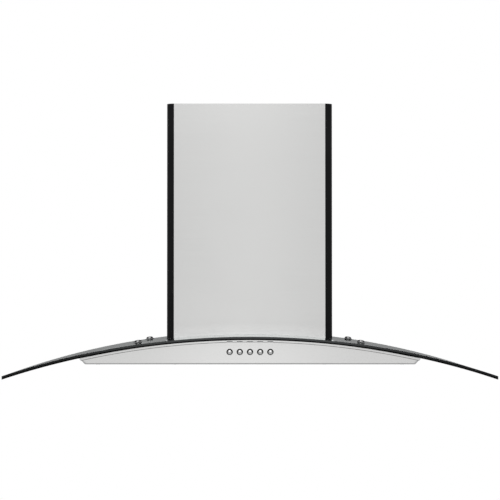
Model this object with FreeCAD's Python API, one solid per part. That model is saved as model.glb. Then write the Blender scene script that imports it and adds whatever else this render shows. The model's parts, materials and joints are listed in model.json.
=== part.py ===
import FreeCAD, Part
import math
import os

# Wall mount range hood with an arched glass canopy and a telescoping chimney.
# Millimetres, +Z up. X runs from left to right as seen from the front.
# The wall is the plane Y = 0 and the hood reaches from it towards -Y.
# The origin is the middle of the four screw holes in the wall plate.
# A depth is a distance from the wall, so it is a negative Y.
# A drop is measured from the upper face of the glass, square to it and downwards.

Vector = FreeCAD.Vector

# Clearances, and how far a cut runs past its piece
overrun = 5.0
seat_gap = 0.3
running_gap = 0.05
button_gap = 0.35
sliding_gap = 0.8
same_place = 0.01

# Glass canopy
glass_width = 900.0
glass_depth = 500.0
glass_side_depth = 415.0
glass_thickness = 6.0
glass_arch_radius = 1415.0
glass_front_corner_radius = 12.0
glass_rear_corner_radius = 8.0
glass_notch_corner_radius = 12.0
glass_notch_gap = 3.0
glass_wall_gap = 2.0
crown_below_screws = 105.0

# Screws that hold the glass, with their caps and grommets
front_glass_screw_x = 211.0
front_glass_screw_depth = 255.0
rear_glass_screw_x = 199.0
rear_glass_screw_depth = 36.0
glass_cap_radius = 7.5
glass_cap_height = 4.6
glass_cap_rim = 1.6
glass_screw_radius = 2.5
glass_screw_length = 20.0
grommet_radius = 8.2
grommet_thickness = 1.0
grommet_sleeve_radius = 4.0

# Steel body under the glass
body_bottom_width = 595.0
body_depth = 435.0
body_drop = 51.0
body_sheet = 1.0
body_wall_gap = 2.0
body_end_angle = math.radians(42.3)
body_corner_radius = 4.5
body_fold_radius = 2.5
body_flange = 12.0
gasket_thickness = 1.0
gasket_width = 12.0
gasket_inset = 10.0
top_plate_sheet = 1.0
lip_height = 4.3
safety_hole_radius = 3.0
safety_hole_spacing = 400.0
safety_hole_rise = 12.0

# Flat frame in the underside, with its strips round the filter openings
frame_sheet = 1.2
frame_inset = 4.0
front_strip = 84.0
rear_strip = 28.0
side_strip = 34.5
centre_rib = 12.0
frame_screw_radius = 1.6
frame_screw_head_radius = 3.0
frame_screw_head_height = 0.6
frame_screw_length = 7.0
frame_screw_place_shares = (-0.92, -0.45, 0.45, 0.92)

# Grease filters
filter_gap = 1.5
filter_height = 11.0
filter_sheet = 0.8
filter_border = 12.0
filter_front_border = 28.0
filter_tab_width = 30.0
filter_tab_reach = 6.0
filter_tab_sheet = 1.5
filter_tab_place_share = 0.28
baffle_count = 8
baffle_width = 18.0
baffle_height = 4.0
baffle_sheet = 0.8
baffle_end_gap = 1.0
baffle_front_seat = 6.5

# Filter latches
latch_width = 46.0
latch_length = 14.0
latch_height = 3.2
latch_travel = 5.0
latch_tongue_width = 30.0
latch_tongue_clearance = 0.5
latch_nub_width = 26.0
latch_nub_length = 6.0

# Lamps in the front strip
lamp_spacing = 400.0
lamp_bezel_radius = 32.0
lamp_bezel_opening = 24.0
lamp_bezel_lip = 1.0
lamp_bezel_collar = 27.0
lamp_bezel_collar_height = 5.0
lamp_lens_radius = 25.8
lamp_lens_thickness = 2.0
lamp_housing_radius = 30.0
lamp_housing_height = 16.0
lamp_housing_wall = 1.6
lamp_flange_gap = 2.5

# Push buttons
button_count = 5
button_pitch = 18.3
button_drop = 28.8
button_radius = 4.05
button_dome = 0.9
button_cap_length = 4.9
button_stem_radius = 2.0
button_stem_length = 18.0
button_travel = 2.0
bezel_radius = 5.8
bezel_thickness = 1.2
bezel_edge = 0.4
bezel_shank = 0.55
bezel_shank_length = 2.4
indicator_width = 10.6
indicator_height = 1.9
indicator_thickness = 1.3

# Switch block behind the push buttons
switch_block_width = 92.0
switch_block_height = 16.0
switch_block_depth = 22.0
switch_block_set_back = 7.0
switch_bore_spare = 4.0
switch_ear_width = 8.0
switch_ear_thickness = 3.0

# Lower chimney cover
chimney_width = 310.0
chimney_depth = 300.0
chimney_height = 432.5
chimney_sheet = 1.0
chimney_wall_gap = 2.0
chimney_return = 15.0
chimney_return_top_gap = 60.0
trim_radius = 13.4
trim_thickness = 2.0
trim_tongue = 10.0
cover_seat_gap = 0.1

# Upper chimney cover, drawn up out of the lower one
upper_sheet = 0.8
upper_top_step = 3.0
upper_bottom_rise = 30.0
upper_wall_gap = 4.0
upper_return = 15.0
upper_notch_height = 52.0

# Bracket that holds the upper cover to the wall
upper_bracket_sheet = 2.0
upper_bracket_height = 40.0
upper_bracket_ear = 34.0
upper_bracket_top_gap = 4.0
upper_bracket_hole_radius = 4.0
upper_bracket_hole_spacing = 200.0
upper_screw_radius = 2.0
upper_screw_head_radius = 4.5
upper_screw_head_height = 0.8
upper_screw_length = 9.0
upper_screw_depth = 20.0

# Brackets that hold the lower cover to the blower housing
cover_bracket_sheet = 1.2
cover_bracket_height = 24.0
cover_bracket_depths = (70.0, 210.0)
cover_screw_radius = 2.0
cover_screw_head_radius = 4.0
cover_screw_head_height = 1.6
cover_screw_length = 9.0
cover_screw_inset = 34.0
cover_screw_fall = 13.0

# Blower housing
housing_side_gap = 25.0
housing_wall_gap = 14.0
housing_front_gap = 30.0
housing_height = 205.0
housing_sheet = 1.0
housing_flange = 12.0
intake_margin = 5.0
blower_screw_radius = 2.0
blower_screw_head_radius = 3.2
blower_screw_head_height = 2.0
blower_screw_length = 8.0
blower_screw_place_shares = (0.08, 0.5, 0.92)

# Scroll round the fan wheel
wheel_radius = 70.0
wheel_length = 84.0
scroll_sheet = 1.0
scroll_inner_length = 100.0
scroll_tongue_gap = 8.0
scroll_growth = 8.0
scroll_floor_gap = 9.0
scroll_eye_radius = 55.0

# Fan wheel and its shaft
blade_count = 30
blade_length = 14.0
blade_thickness = 0.8
blade_lean = math.radians(32.0)
wheel_ring = 2.0
wheel_disc = 2.0
hub_radius = 12.0
hub_back = 6.0
hub_front = 10.0
shaft_radius = 4.0
shaft_in_motor = 40.0
shaft_nut_radius = 8.0
shaft_nut_length = 6.0
shaft_end = 3.0

# Motor and its bracket
motor_radius = 42.5
motor_length = 74.0
motor_wheel_gap = 4.0
motor_boss_radius = 14.0
motor_boss_length = 5.0
motor_edge_radius = 4.0
spider_arm_count = 3
spider_ring = 3.0
spider_length = 8.0
spider_set_back = 6.0
spider_arm_width = 12.0
spider_arm_sheet = 2.5
spider_foot = 13.0
spider_foot_sheet = 1.5
spider_reach = 66.0

# Outlet collar and back draught damper
collar_radius = 74.5
collar_wall = 1.0
collar_height = 60.0
collar_flange = 9.0
collar_flange_sheet = 1.0
collar_bead = 2.2
collar_bead_height = 1.4
spindle_radius = 1.5
spindle_rise = 14.0
spindle_recess = 0.2
flap_sheet = 0.8
flap_gap = 1.2
knuckle_radius = 3.0
knuckle_gap = 1.0
knuckle_span = 133.0
knuckle_count = 4
flap_edge_gap = 0.5

# Junction box with its lid and cable gland
junction_width = 100.0
junction_depth = 48.0
junction_height = 34.0
junction_wall = 2.0
junction_lid_sheet = 2.5
junction_side_gap = 15.0
junction_front_gap = 8.0
junction_rear_gap = 6.5
gland_bore = 4.0
gland_place = 22.0
gland_thread_radius = 6.0
gland_hex_radius = 9.0
gland_hex_height = 6.0
gland_dome_radius = 7.6
gland_dome_height = 9.0
gland_locknut_height = 4.0

# Capacitor and its clip
capacitor_radius = 17.0
capacitor_length = 56.0
capacitor_x = 62.0
capacitor_front_gap = 34.0
clip_sheet = 1.2
clip_length = 12.0
clip_foot = 12.0

# Wall plate and the hanger rail that hooks over it
wall_plate_side_margin = 15.0
wall_plate_height = 140.0
wall_plate_sheet = 2.5
wall_hole_radius = 4.0
wall_hole_spacing_x = 200.0
wall_hole_spacing_z = 100.0
hook_width = 50.0
hook_spacing = 90.0
hook_base_rise = 66.0
hook_reach = 5.5
hook_sheet = 1.5
hook_height = 14.0
hanger_width = 180.0
hanger_sheet = 1.5
hanger_leg = 30.0


# Heights and places that several pieces share
crown_z = -crown_below_screws
body_floor_z = crown_z - body_drop
gasket_drop = glass_thickness + gasket_thickness
plate_drop = gasket_drop + top_plate_sheet
frame_bottom_z = body_floor_z + body_sheet
frame_top_z = frame_bottom_z + frame_sheet
filter_bottom_z = frame_bottom_z
filter_top_z = filter_bottom_z + filter_height
button_z = crown_z - button_drop
chimney_top_z = crown_z + chimney_height
housing_top_z = crown_z + housing_height
housing_width = chimney_width - 2 * housing_side_gap
housing_front_depth = chimney_depth - housing_front_gap
housing_depth = housing_front_depth - housing_wall_gap
junction_front_depth = housing_front_depth - junction_front_gap
junction_rear_depth = junction_front_depth - junction_depth
outlet_depth = junction_rear_depth - junction_rear_gap - collar_flange - collar_radius
upper_bottom_z = crown_z + upper_bottom_rise
upper_top_z = chimney_top_z - upper_top_step
opening_front_depth = body_depth - front_strip
opening_rear_depth = rear_strip
opening_inner_x = centre_rib / 2
opening_outer_x = body_bottom_width / 2 - side_strip
lamp_depth = body_depth - body_flange - lamp_flange_gap - lamp_bezel_radius
scroll_first_radius = wheel_radius + scroll_tongue_gap
scroll_duct_depth = scroll_first_radius + 3 * scroll_growth
wheel_depth = outlet_depth + scroll_duct_depth / 2
wheel_z = crown_z + scroll_floor_gap + scroll_sheet + scroll_first_radius + scroll_growth
spindle_z = housing_top_z + spindle_rise
upper_half_width = chimney_width / 2 - trim_thickness - sliding_gap
upper_front_depth = chimney_depth - trim_thickness - sliding_gap
upper_corner_radius = trim_radius - trim_thickness - sliding_gap
button_projection = bezel_thickness + button_travel
button_places = [
    (number - (button_count - 1) / 2) * button_pitch for number in range(button_count)
]


def block(x0, x1, d0, d1, z0, z1):
    """A block between two X planes, two depths and two heights."""
    return Part.makeBox(x1 - x0, d1 - d0, z1 - z0, Vector(x0, -d1, z0))


def rod_x(radius, x0, x1, depth, z):
    return Part.makeCylinder(radius, x1 - x0, Vector(x0, -depth, z), Vector(1, 0, 0))


def rod_y(radius, x, d0, d1, z):
    return Part.makeCylinder(radius, d1 - d0, Vector(x, -d0, z), Vector(0, -1, 0))


def rod_z(radius, x, depth, z0, z1):
    return Part.makeCylinder(radius, z1 - z0, Vector(x, -depth, z0), Vector(0, 0, 1))


def segment(start, end):
    return Part.LineSegment(start, end).toShape()


def arc(start, middle, end):
    return Part.Arc(start, middle, end).toShape()


def prism_x(outline, x0, x1):
    """An outline of (depth, height) points, drawn out from x0 to x1."""
    corners = [Vector(x0, -depth, z) for depth, z in outline]
    face = Part.Face(Part.makePolygon(corners + corners[:1]))
    return face.extrude(Vector(x1 - x0, 0, 0))


def prism_y(outline, d0, d1):
    """An outline of (x, height) points, drawn out from depth d0 to depth d1."""
    corners = [Vector(x, -d0, z) for x, z in outline]
    face = Part.Face(Part.makePolygon(corners + corners[:1]))
    return face.extrude(Vector(0, d0 - d1, 0))


def hexagon_z(radius, x, depth, z0, z1):
    """A six-sided nut with its corners at the given radius."""
    turns = [math.radians(60 * side) for side in range(6)]
    corners = [
        Vector(x + radius * math.cos(turn), -depth + radius * math.sin(turn), z0) for turn in turns
    ]
    face = Part.Face(Part.makePolygon(corners + corners[:1]))
    return face.extrude(Vector(0, 0, z1 - z0))


def mirrored(shape):
    """The same piece on the other side of the hood."""
    return shape.mirror(Vector(0, 0, 0), Vector(1, 0, 0))


def group(solids):
    return Part.makeCompound(solids)


def arch_z(x, drop):
    """Height of the arch at x, for a drop below the upper face of the glass."""
    centre = crown_z - glass_arch_radius
    return centre + math.sqrt((glass_arch_radius - drop) ** 2 - x**2)


def arch_points(half_width, drop, depth):
    return [
        Vector(x, -depth, arch_z(x, drop)) for x in (-half_width, 0, half_width)
    ]


def arch_slab(half_width, top_drop, bottom_drop, d0, d1):
    """The curved layer between two drops."""
    top = arch_points(half_width, top_drop, d0)
    bottom = arch_points(half_width, bottom_drop, d0)
    edges = [
        arc(*top),
        segment(top[2], bottom[2]),
        arc(*bottom),
        segment(bottom[0], top[0]),
    ]
    return Part.Face(Part.Wire(edges)).extrude(Vector(0, d0 - d1, 0))


def beside_arch(half_width, drop, z, d0, d1):
    """Everything between the arch and a level plane at z, above or below it."""
    curve = arch_points(half_width, drop, d0)
    left = Vector(-half_width, -d0, z)
    right = Vector(half_width, -d0, z)
    edges = [arc(*curve), segment(curve[2], right), segment(right, left), segment(left, curve[0])]
    return Part.Face(Part.Wire(edges)).extrude(Vector(0, d0 - d1, 0))


def on_arch(shape, x, depth, drop):
    """Stands a shape, made upright at the origin, square on the arch."""
    lean = math.asin(x / glass_arch_radius)
    reach = glass_arch_radius - drop
    placed = shape.copy()
    placed.rotate(Vector(0, 0, 0), Vector(0, 1, 0), math.degrees(lean))
    height = crown_z - glass_arch_radius + reach * math.cos(lean)
    placed.translate(Vector(reach * math.sin(lean), -depth, height))
    return placed


def upright(radius, z0, z1):
    return Part.makeCylinder(radius, z1 - z0, Vector(0, 0, z0), Vector(0, 0, 1))


def ring_z(outer, inner, x, depth, z0, z1):
    return rod_z(outer, x, depth, z0, z1).cut(rod_z(inner, x, depth, z0 - overrun, z1 + overrun))


def glass_screw_places():
    places = []
    for side in (-1, 1):
        places.append((side * front_glass_screw_x, front_glass_screw_depth))
        places.append((side * rear_glass_screw_x, rear_glass_screw_depth))
    return places


# Glass canopy and what holds it


def glass_plan():
    """Outline of the glass seen from above: bowed front, rounded corners."""
    half = glass_width / 2
    bow = glass_depth - glass_side_depth
    front_radius = (half**2 + bow**2) / (2 * bow)
    front_centre = glass_depth - front_radius
    corner = glass_front_corner_radius
    corner_x = half - corner
    corner_depth = front_centre + math.sqrt((front_radius - corner) ** 2 - corner_x**2)
    turn = math.atan2(corner_x, corner_depth - front_centre)
    meet_x = front_radius * math.sin(turn)
    meet_depth = front_centre + front_radius * math.cos(turn)
    middle_turn = (turn + math.pi / 2) / 2
    middle_x = corner_x + corner * math.sin(middle_turn)
    middle_depth = corner_depth + corner * math.cos(middle_turn)
    rear = glass_rear_corner_radius
    slant = rear * (1 - math.sqrt(0.5))

    def at(x, depth):
        return Vector(x, -depth, crown_z + overrun)

    edges = [
        arc(at(-meet_x, meet_depth), at(0, glass_depth), at(meet_x, meet_depth)),
        arc(at(meet_x, meet_depth), at(middle_x, middle_depth), at(half, corner_depth)),
        segment(at(half, corner_depth), at(half, glass_wall_gap + rear)),
        arc(
            at(half, glass_wall_gap + rear),
            at(half - slant, glass_wall_gap + slant),
            at(half - rear, glass_wall_gap),
        ),
        segment(at(half - rear, glass_wall_gap), at(rear - half, glass_wall_gap)),
        arc(
            at(rear - half, glass_wall_gap),
            at(slant - half, glass_wall_gap + slant),
            at(-half, glass_wall_gap + rear),
        ),
        segment(at(-half, glass_wall_gap + rear), at(-half, corner_depth)),
        arc(at(-half, corner_depth), at(-middle_x, middle_depth), at(-meet_x, meet_depth)),
    ]
    return Part.Face(Part.Wire(edges))


def glass_canopy():
    half = glass_width / 2
    slab = arch_slab(half + overrun, 0, glass_thickness, 0, glass_depth + overrun)
    tips_z = arch_z(half, glass_thickness) - overrun
    plan = glass_plan().extrude(Vector(0, 0, tips_z - crown_z - overrun))
    glass = slab.common(plan)
    notch_half = housing_width / 2 + housing_flange + glass_notch_gap
    notch_front = housing_front_depth + housing_flange + glass_notch_gap
    notch = block(-notch_half, notch_half, -overrun, notch_front, tips_z, crown_z + overrun)
    corners = [
        edge
        for edge in notch.Edges
        if all(abs(v.Y + notch_front) < same_place for v in edge.Vertexes)
        and abs(edge.Vertexes[0].Z - edge.Vertexes[1].Z) > same_place
    ]
    glass = glass.cut(notch.makeFillet(glass_notch_corner_radius, corners))
    for x, depth in glass_screw_places():
        hole = upright(grommet_sleeve_radius, -overrun, glass_thickness + overrun)
        glass = glass.cut(on_arch(hole, x, depth, glass_thickness))
    return glass


def glass_gasket():
    """Rubber strip between the glass and the top plate, open at the notch."""
    outer_half = body_bottom_width / 2 - gasket_inset
    front = body_depth - gasket_inset
    rear = body_wall_gap + gasket_inset
    strip = arch_slab(outer_half, glass_thickness, gasket_drop, rear, front)
    inner = block(
        gasket_width - outer_half,
        outer_half - gasket_width,
        rear + gasket_width,
        front - gasket_width,
        body_floor_z,
        crown_z + overrun,
    )
    notch_half = housing_width / 2 + housing_flange + 2 * glass_notch_gap
    notch = block(-notch_half, notch_half, 0, rear + 2 * gasket_width, body_floor_z, crown_z + overrun)
    return strip.cut(inner).cut(notch)


def glass_screws():
    """Dome-capped screws through the glass into the top plate."""
    solids = []
    dome_height = glass_cap_height - glass_cap_rim
    dome_radius = (glass_cap_radius**2 + dome_height**2) / (2 * dome_height)
    ball = Part.makeSphere(dome_radius, Vector(0, 0, glass_cap_height - dome_radius))
    cap = upright(glass_cap_radius, 0, glass_cap_height).common(ball)
    shank = upright(glass_screw_radius, grommet_thickness - glass_screw_length, glass_cap_rim)
    for x, depth in glass_screw_places():
        solids.append(on_arch(cap.fuse(shank), x, depth, -grommet_thickness))
    return group(solids)


def glass_grommets():
    """Rubber washers with a sleeve that lines the hole in the glass."""
    solids = []
    flange = upright(grommet_radius, 0, grommet_thickness)
    sleeve = upright(grommet_sleeve_radius, -glass_thickness, grommet_thickness)
    bore = upright(glass_screw_radius, -glass_thickness - overrun, grommet_thickness + overrun)
    for x, depth in glass_screw_places():
        solids.append(on_arch(flange.fuse(sleeve).cut(bore), x, depth, 0))
    return group(solids)


# Steel body


def body_half_width(z, offset):
    """Half the body's width at a height, with its slanted ends moved out by offset."""
    rise = (z - body_floor_z) * math.tan(body_end_angle)
    return body_bottom_width / 2 + rise + offset / math.cos(body_end_angle)


def body_envelope(offset, floor_z, rear_depth):
    """Solid body with slanted ends and rounded front corners, before the arch cuts it."""
    top_z = crown_z + overrun
    front = body_depth + offset
    outline = [
        (-body_half_width(floor_z, offset), floor_z),
        (body_half_width(floor_z, offset), floor_z),
        (body_half_width(top_z, offset), top_z),
        (-body_half_width(top_z, offset), top_z),
    ]
    solid = prism_y(outline, rear_depth, front)

    def in_front(edge):
        return all(abs(v.Y + front) < same_place for v in edge.Vertexes)

    def level(edge):
        return abs(edge.Vertexes[0].Z - edge.Vertexes[-1].Z) < same_place

    corners = [edge for edge in solid.Edges if in_front(edge) and not level(edge)]
    solid = solid.makeFillet(body_corner_radius + offset, corners)
    folds = [
        edge
        for edge in solid.Edges
        if all(abs(v.Z - floor_z) < same_place for v in edge.Vertexes)
        and not all(abs(v.Y + rear_depth) < same_place for v in edge.Vertexes)
    ]
    return solid.makeFillet(body_fold_radius + offset, folds)


def canopy_shell():
    """Folded sheet: front, slanted ends, back and a narrow flange under them."""
    outer = body_envelope(0, body_floor_z, body_wall_gap)
    inner = body_envelope(-body_sheet, body_floor_z + body_sheet, body_wall_gap + body_sheet)
    half = body_bottom_width / 2 - body_flange
    opening = block(
        -half,
        half,
        body_wall_gap + body_flange,
        body_depth - body_flange,
        body_floor_z - overrun,
        body_floor_z + body_sheet + overrun,
    )
    reach = body_half_width(crown_z, overrun)
    under = beside_arch(reach, plate_drop, body_floor_z - overrun, 0, body_depth + overrun)
    shell = outer.cut(inner).cut(opening).common(under)
    for x in button_places:
        shell = shell.cut(
            rod_y(bezel_shank_radius(), x, body_depth - overrun, body_depth + overrun, button_z)
        )
    for side in (-1, 1):
        x = side * safety_hole_spacing / 2
        shell = shell.cut(
            rod_y(safety_hole_radius, x, 0, overrun, body_floor_z + safety_hole_rise)
        )
    return shell.cut(group(frame_screw_shanks()))


def canopy_top_plate():
    """Arched sheet under the glass, with a lip that covers the shell's upper edge."""
    reach = body_half_width(crown_z, overrun)
    outer = body_envelope(body_sheet, body_floor_z - overrun, body_wall_gap)
    inner = body_envelope(0, body_floor_z - 2 * overrun, -overrun)
    sheet = arch_slab(reach, gasket_drop, plate_drop, 0, body_depth + overrun).common(outer)
    lip_drop = gasket_drop + lip_height
    rim = arch_slab(reach, gasket_drop, lip_drop, 0, body_depth + overrun).common(outer)
    plate = sheet.fuse(rim.cut(inner))
    plate = plate.cut(intake_opening())
    for x, depth in glass_screw_places():
        hole = upright(glass_screw_radius, -overrun, overrun)
        plate = plate.cut(on_arch(hole, x, depth, plate_drop))
    for x, depth in blower_screw_places():
        hole = upright(blower_screw_radius, -overrun, overrun)
        plate = plate.cut(on_arch(hole, x, depth, plate_drop))
    for window in indicator_windows(body_depth - same_place, body_depth + overrun, overrun):
        plate = plate.cut(window)
    return plate


def intake_opening():
    half = housing_width / 2 - intake_margin
    return block(
        -half,
        half,
        housing_wall_gap + intake_margin,
        housing_front_depth - intake_margin,
        body_floor_z,
        crown_z + overrun,
    )


def indicator_windows(d0, d1, below):
    """Small windows in the lip, one above each push button."""
    lip_z = crown_z - gasket_drop - lip_height
    return [
        block(
            x - indicator_width / 2,
            x + indicator_width / 2,
            d0,
            d1,
            lip_z - below,
            lip_z + indicator_height,
        )
        for x in button_places
    ]


def indicator_lenses():
    return group(indicator_windows(body_depth, body_depth + indicator_thickness, 0))


def frame_edges():
    """Half width, rear depth and front depth of the flat frame."""
    half = body_half_width(frame_bottom_z, -body_sheet) - frame_inset
    return half, body_wall_gap + body_sheet + frame_inset / 2, body_depth - body_sheet - frame_inset


def frame_screw_places():
    places = []
    for share in frame_screw_place_shares:
        x = share * body_bottom_width / 2
        places.append((x, body_depth - body_flange / 2 - body_fold_radius / 2))
        places.append((x, body_wall_gap + body_flange / 2 + body_sheet))
    return places


def frame_screw_shanks():
    top = body_floor_z + frame_screw_length
    return [
        rod_z(frame_screw_radius, x, depth, body_floor_z - same_place, top)
        for x, depth in frame_screw_places()
    ]


def bottom_frame():
    """Flat frame in the underside, with openings for the filters and the lamps."""
    half, rear, front = frame_edges()
    frame = block(-half, half, rear, front, frame_bottom_z, frame_top_z)
    for side in (-1, 1):
        near, far = sorted((side * opening_inner_x, side * opening_outer_x))
        frame = frame.cut(
            block(
                near,
                far,
                opening_rear_depth,
                opening_front_depth,
                frame_bottom_z - overrun,
                frame_top_z + overrun,
            )
        )
        frame = frame.cut(
            rod_z(
                lamp_bezel_collar,
                side * lamp_spacing / 2,
                lamp_depth,
                frame_bottom_z - overrun,
                frame_top_z + overrun,
            )
        )
    return frame.cut(group(frame_screw_shanks()))


def frame_screws():
    solids = []
    for shank, (x, depth) in zip(frame_screw_shanks(), frame_screw_places()):
        head = rod_z(
            frame_screw_head_radius,
            x,
            depth,
            body_floor_z - frame_screw_head_height,
            body_floor_z,
        )
        solids.append(head.fuse(shank))
    return group(solids)


# Push buttons


def bezel_bore_radius():
    return button_radius + button_gap


def bezel_shank_radius():
    return bezel_bore_radius() + bezel_shank


def button_bezels():
    """Chrome rings in the front, with a short shank through the sheet."""
    solids = []
    face = body_depth + bezel_thickness
    for x in button_places:
        flange = rod_y(bezel_radius, x, body_depth, face, button_z)
        rims = [
            edge
            for edge in flange.Edges
            if all(abs(v.Y + face) < same_place for v in edge.Vertexes)
        ]
        flange = flange.makeFillet(bezel_edge, rims)
        shank = rod_y(bezel_shank_radius(), x, body_depth - bezel_shank_length, body_depth, button_z)
        bore = rod_y(bezel_bore_radius(), x, body_depth - 2 * overrun, face + overrun, button_z)
        solids.append(flange.fuse(shank).cut(bore))
    return group(solids)


def button_cap_back():
    """Depth of the back of a button's cap at rest."""
    return body_depth + button_projection - button_cap_length


def push_button(x):
    """Domed cap with a stem that reaches into the switch block."""
    front = body_depth + button_projection
    back = button_cap_back()
    edge_depth = front - button_dome
    dome_radius = (button_radius**2 + button_dome**2) / (2 * button_dome)
    ball = Part.makeSphere(dome_radius, Vector(x, dome_radius - front, button_z))
    cap = rod_y(button_radius, x, edge_depth, front, button_z).common(ball)
    body = rod_y(button_radius, x, back, edge_depth, button_z)
    stem = rod_y(button_stem_radius, x, back - button_stem_length, back, button_z)
    return body.fuse(cap).fuse(stem)


def switch_block():
    """Switch housing that takes the button stems, held by two ears behind the front."""
    front = body_depth - body_sheet - switch_block_set_back
    half = switch_block_width / 2
    low = button_z - switch_block_height / 2
    high = button_z + switch_block_height / 2
    housing = block(-half, half, front - switch_block_depth, front, low, high)
    for side in (-1, 1):
        inner, outer = sorted((side * (half - switch_ear_width), side * half))
        ear = block(inner, outer, front, body_depth - body_sheet, low, low + switch_ear_thickness)
        cap = block(inner, outer, front, body_depth - body_sheet, high - switch_ear_thickness, high)
        housing = housing.fuse(ear).fuse(cap)
    bore_end = button_cap_back() - button_stem_length - button_travel - switch_bore_spare
    for x in button_places:
        bore = rod_y(button_stem_radius + button_gap, x, bore_end, front + overrun, button_z)
        housing = housing.cut(bore)
    return housing


# Lamps


def lamp_bezel(side):
    """Ring under the frame, with a collar that stands up through it."""
    x = side * lamp_spacing / 2
    flange = rod_z(lamp_bezel_radius, x, lamp_depth, frame_bottom_z - lamp_bezel_lip, frame_bottom_z)
    collar_top = frame_bottom_z + lamp_bezel_collar_height
    collar = rod_z(lamp_bezel_collar, x, lamp_depth, frame_bottom_z, collar_top)
    seat = rod_z(lamp_lens_radius, x, lamp_depth, frame_bottom_z, collar_top + overrun)
    opening = rod_z(lamp_bezel_opening, x, lamp_depth, frame_bottom_z - overrun, frame_top_z)
    return flange.fuse(collar).cut(seat).cut(opening)


def lamp_lens(side):
    x = side * lamp_spacing / 2
    return rod_z(
        lamp_lens_radius, x, lamp_depth, frame_bottom_z, frame_bottom_z + lamp_lens_thickness
    )


def lamp_housing(side):
    """Cup on top of the frame, over the bezel's collar."""
    x = side * lamp_spacing / 2
    top = frame_top_z + lamp_housing_height
    cup = rod_z(lamp_housing_radius, x, lamp_depth, frame_top_z, top)
    inside = rod_z(
        lamp_bezel_collar + seat_gap,
        x,
        lamp_depth,
        frame_top_z - overrun,
        top - lamp_housing_wall,
    )
    return cup.cut(inside)


# Grease filters, made on the right and mirrored


def filter_edges():
    """Inner and outer x, rear and front depth of a filter."""
    return (
        opening_inner_x + filter_gap,
        opening_outer_x - filter_gap,
        opening_rear_depth + filter_gap,
        opening_front_depth - filter_gap,
    )


def filter_frame():
    """Folded channel round the baffles, with tabs at the back and a latch slot in front."""
    x0, x1, rear, front = filter_edges()
    inner_front = front - filter_front_border
    frame = block(x0, x1, rear, front, filter_bottom_z, filter_top_z)
    opening = block(
        x0 + filter_border,
        x1 - filter_border,
        rear + filter_border,
        inner_front,
        filter_bottom_z - overrun,
        filter_top_z + overrun,
    )
    channel = block(
        x0 + filter_sheet,
        x1 - filter_sheet,
        rear + filter_sheet,
        front - filter_sheet,
        filter_bottom_z + filter_sheet,
        filter_top_z - filter_sheet,
    )
    frame = frame.cut(opening).cut(channel)
    middle = (x0 + x1) / 2
    tab_z = frame_top_z + seat_gap
    for side in (-1, 1):
        x = middle + side * filter_tab_place_share * (x1 - x0)
        frame = frame.fuse(
            block(
                x - filter_tab_width / 2,
                x + filter_tab_width / 2,
                rear - filter_gap - filter_tab_reach,
                rear + filter_sheet,
                tab_z,
                tab_z + filter_tab_sheet,
            )
        )
    nub_half = latch_nub_width / 2 + seat_gap
    nub_front = latch_front_depth() - latch_length / 2 + latch_nub_length / 2 + seat_gap
    nub_rear = nub_front - latch_nub_length - latch_travel - 2 * seat_gap
    slot = block(
        middle - nub_half,
        middle + nub_half,
        nub_rear,
        nub_front,
        filter_bottom_z - overrun,
        filter_bottom_z + filter_sheet,
    )
    tongue_half = latch_tongue_width / 2 + seat_gap
    mouth = block(
        middle - tongue_half,
        middle + tongue_half,
        front - filter_sheet,
        front + overrun,
        latch_tongue_z() - seat_gap,
        filter_bottom_z + filter_sheet + latch_height + seat_gap,
    )
    return frame.cut(slot).cut(mouth)


def latch_front_depth():
    """Front of the latch's body, which slides inside the filter's front channel."""
    return opening_front_depth - filter_gap - filter_sheet - seat_gap


def latch_tongue_z():
    return frame_top_z + seat_gap


def filter_latch():
    """Sliding catch with a finger nub below and a tongue that points over the frame."""
    x0, x1, rear, front = filter_edges()
    middle = (x0 + x1) / 2
    body_front = latch_front_depth()
    low = filter_bottom_z + filter_sheet
    high = low + latch_height
    body = block(
        middle - latch_width / 2,
        middle + latch_width / 2,
        body_front - latch_length,
        body_front,
        low,
        high,
    )
    tongue = block(
        middle - latch_tongue_width / 2,
        middle + latch_tongue_width / 2,
        body_front - latch_length,
        opening_front_depth - latch_tongue_clearance,
        latch_tongue_z(),
        high,
    )
    nub_front = body_front - latch_length / 2 + latch_nub_length / 2
    nub = block(
        middle - latch_nub_width / 2,
        middle + latch_nub_width / 2,
        nub_front - latch_nub_length,
        nub_front,
        filter_bottom_z,
        high,
    )
    return body.fuse(tongue).fuse(nub)


def baffle(x, d0, d1, z, up):
    """One folded U channel, open upwards if up is 1 and downwards if up is -1."""
    half = baffle_width / 2
    top = z + up * baffle_height
    base = z + up * baffle_sheet
    outer = block(x - half, x + half, d0, d1, min(z, top), max(z, top))
    inner = block(
        x - half + baffle_sheet,
        x + half - baffle_sheet,
        d0 - overrun,
        d1 + overrun,
        min(base, top + up * overrun),
        max(base, top + up * overrun),
    )
    return outer.cut(inner)


def filter_baffles():
    """Two staggered layers of channels whose ends sit in the filter's frame."""
    x0, x1, rear, front = filter_edges()
    d0 = rear + filter_sheet + baffle_end_gap
    d1 = front - filter_front_border + baffle_front_seat
    low_z = filter_bottom_z + filter_sheet
    high_z = filter_top_z - filter_sheet
    first = x0 + filter_border + baffle_width / 2
    last = x1 - filter_border - baffle_width / 2
    pitch = (last - first) / (baffle_count - 1)
    solids = [baffle(first + n * pitch, d0, d1, low_z, 1) for n in range(baffle_count)]
    solids += [
        baffle(first + (n + 1 / 2) * pitch, d0, d1, high_z, -1) for n in range(baffle_count - 1)
    ]
    return group(solids)


# Lower chimney cover


def lower_cover_panel(x0, x1, d0, d1, top):
    """A flat sheet that stands just clear of the glass."""
    tall = block(x0, x1, d0, d1, crown_z - body_drop, top)
    over = beside_arch(chimney_width, -cover_seat_gap, chimney_top_z + overrun, 0, glass_depth)
    return tall.common(over)


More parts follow.
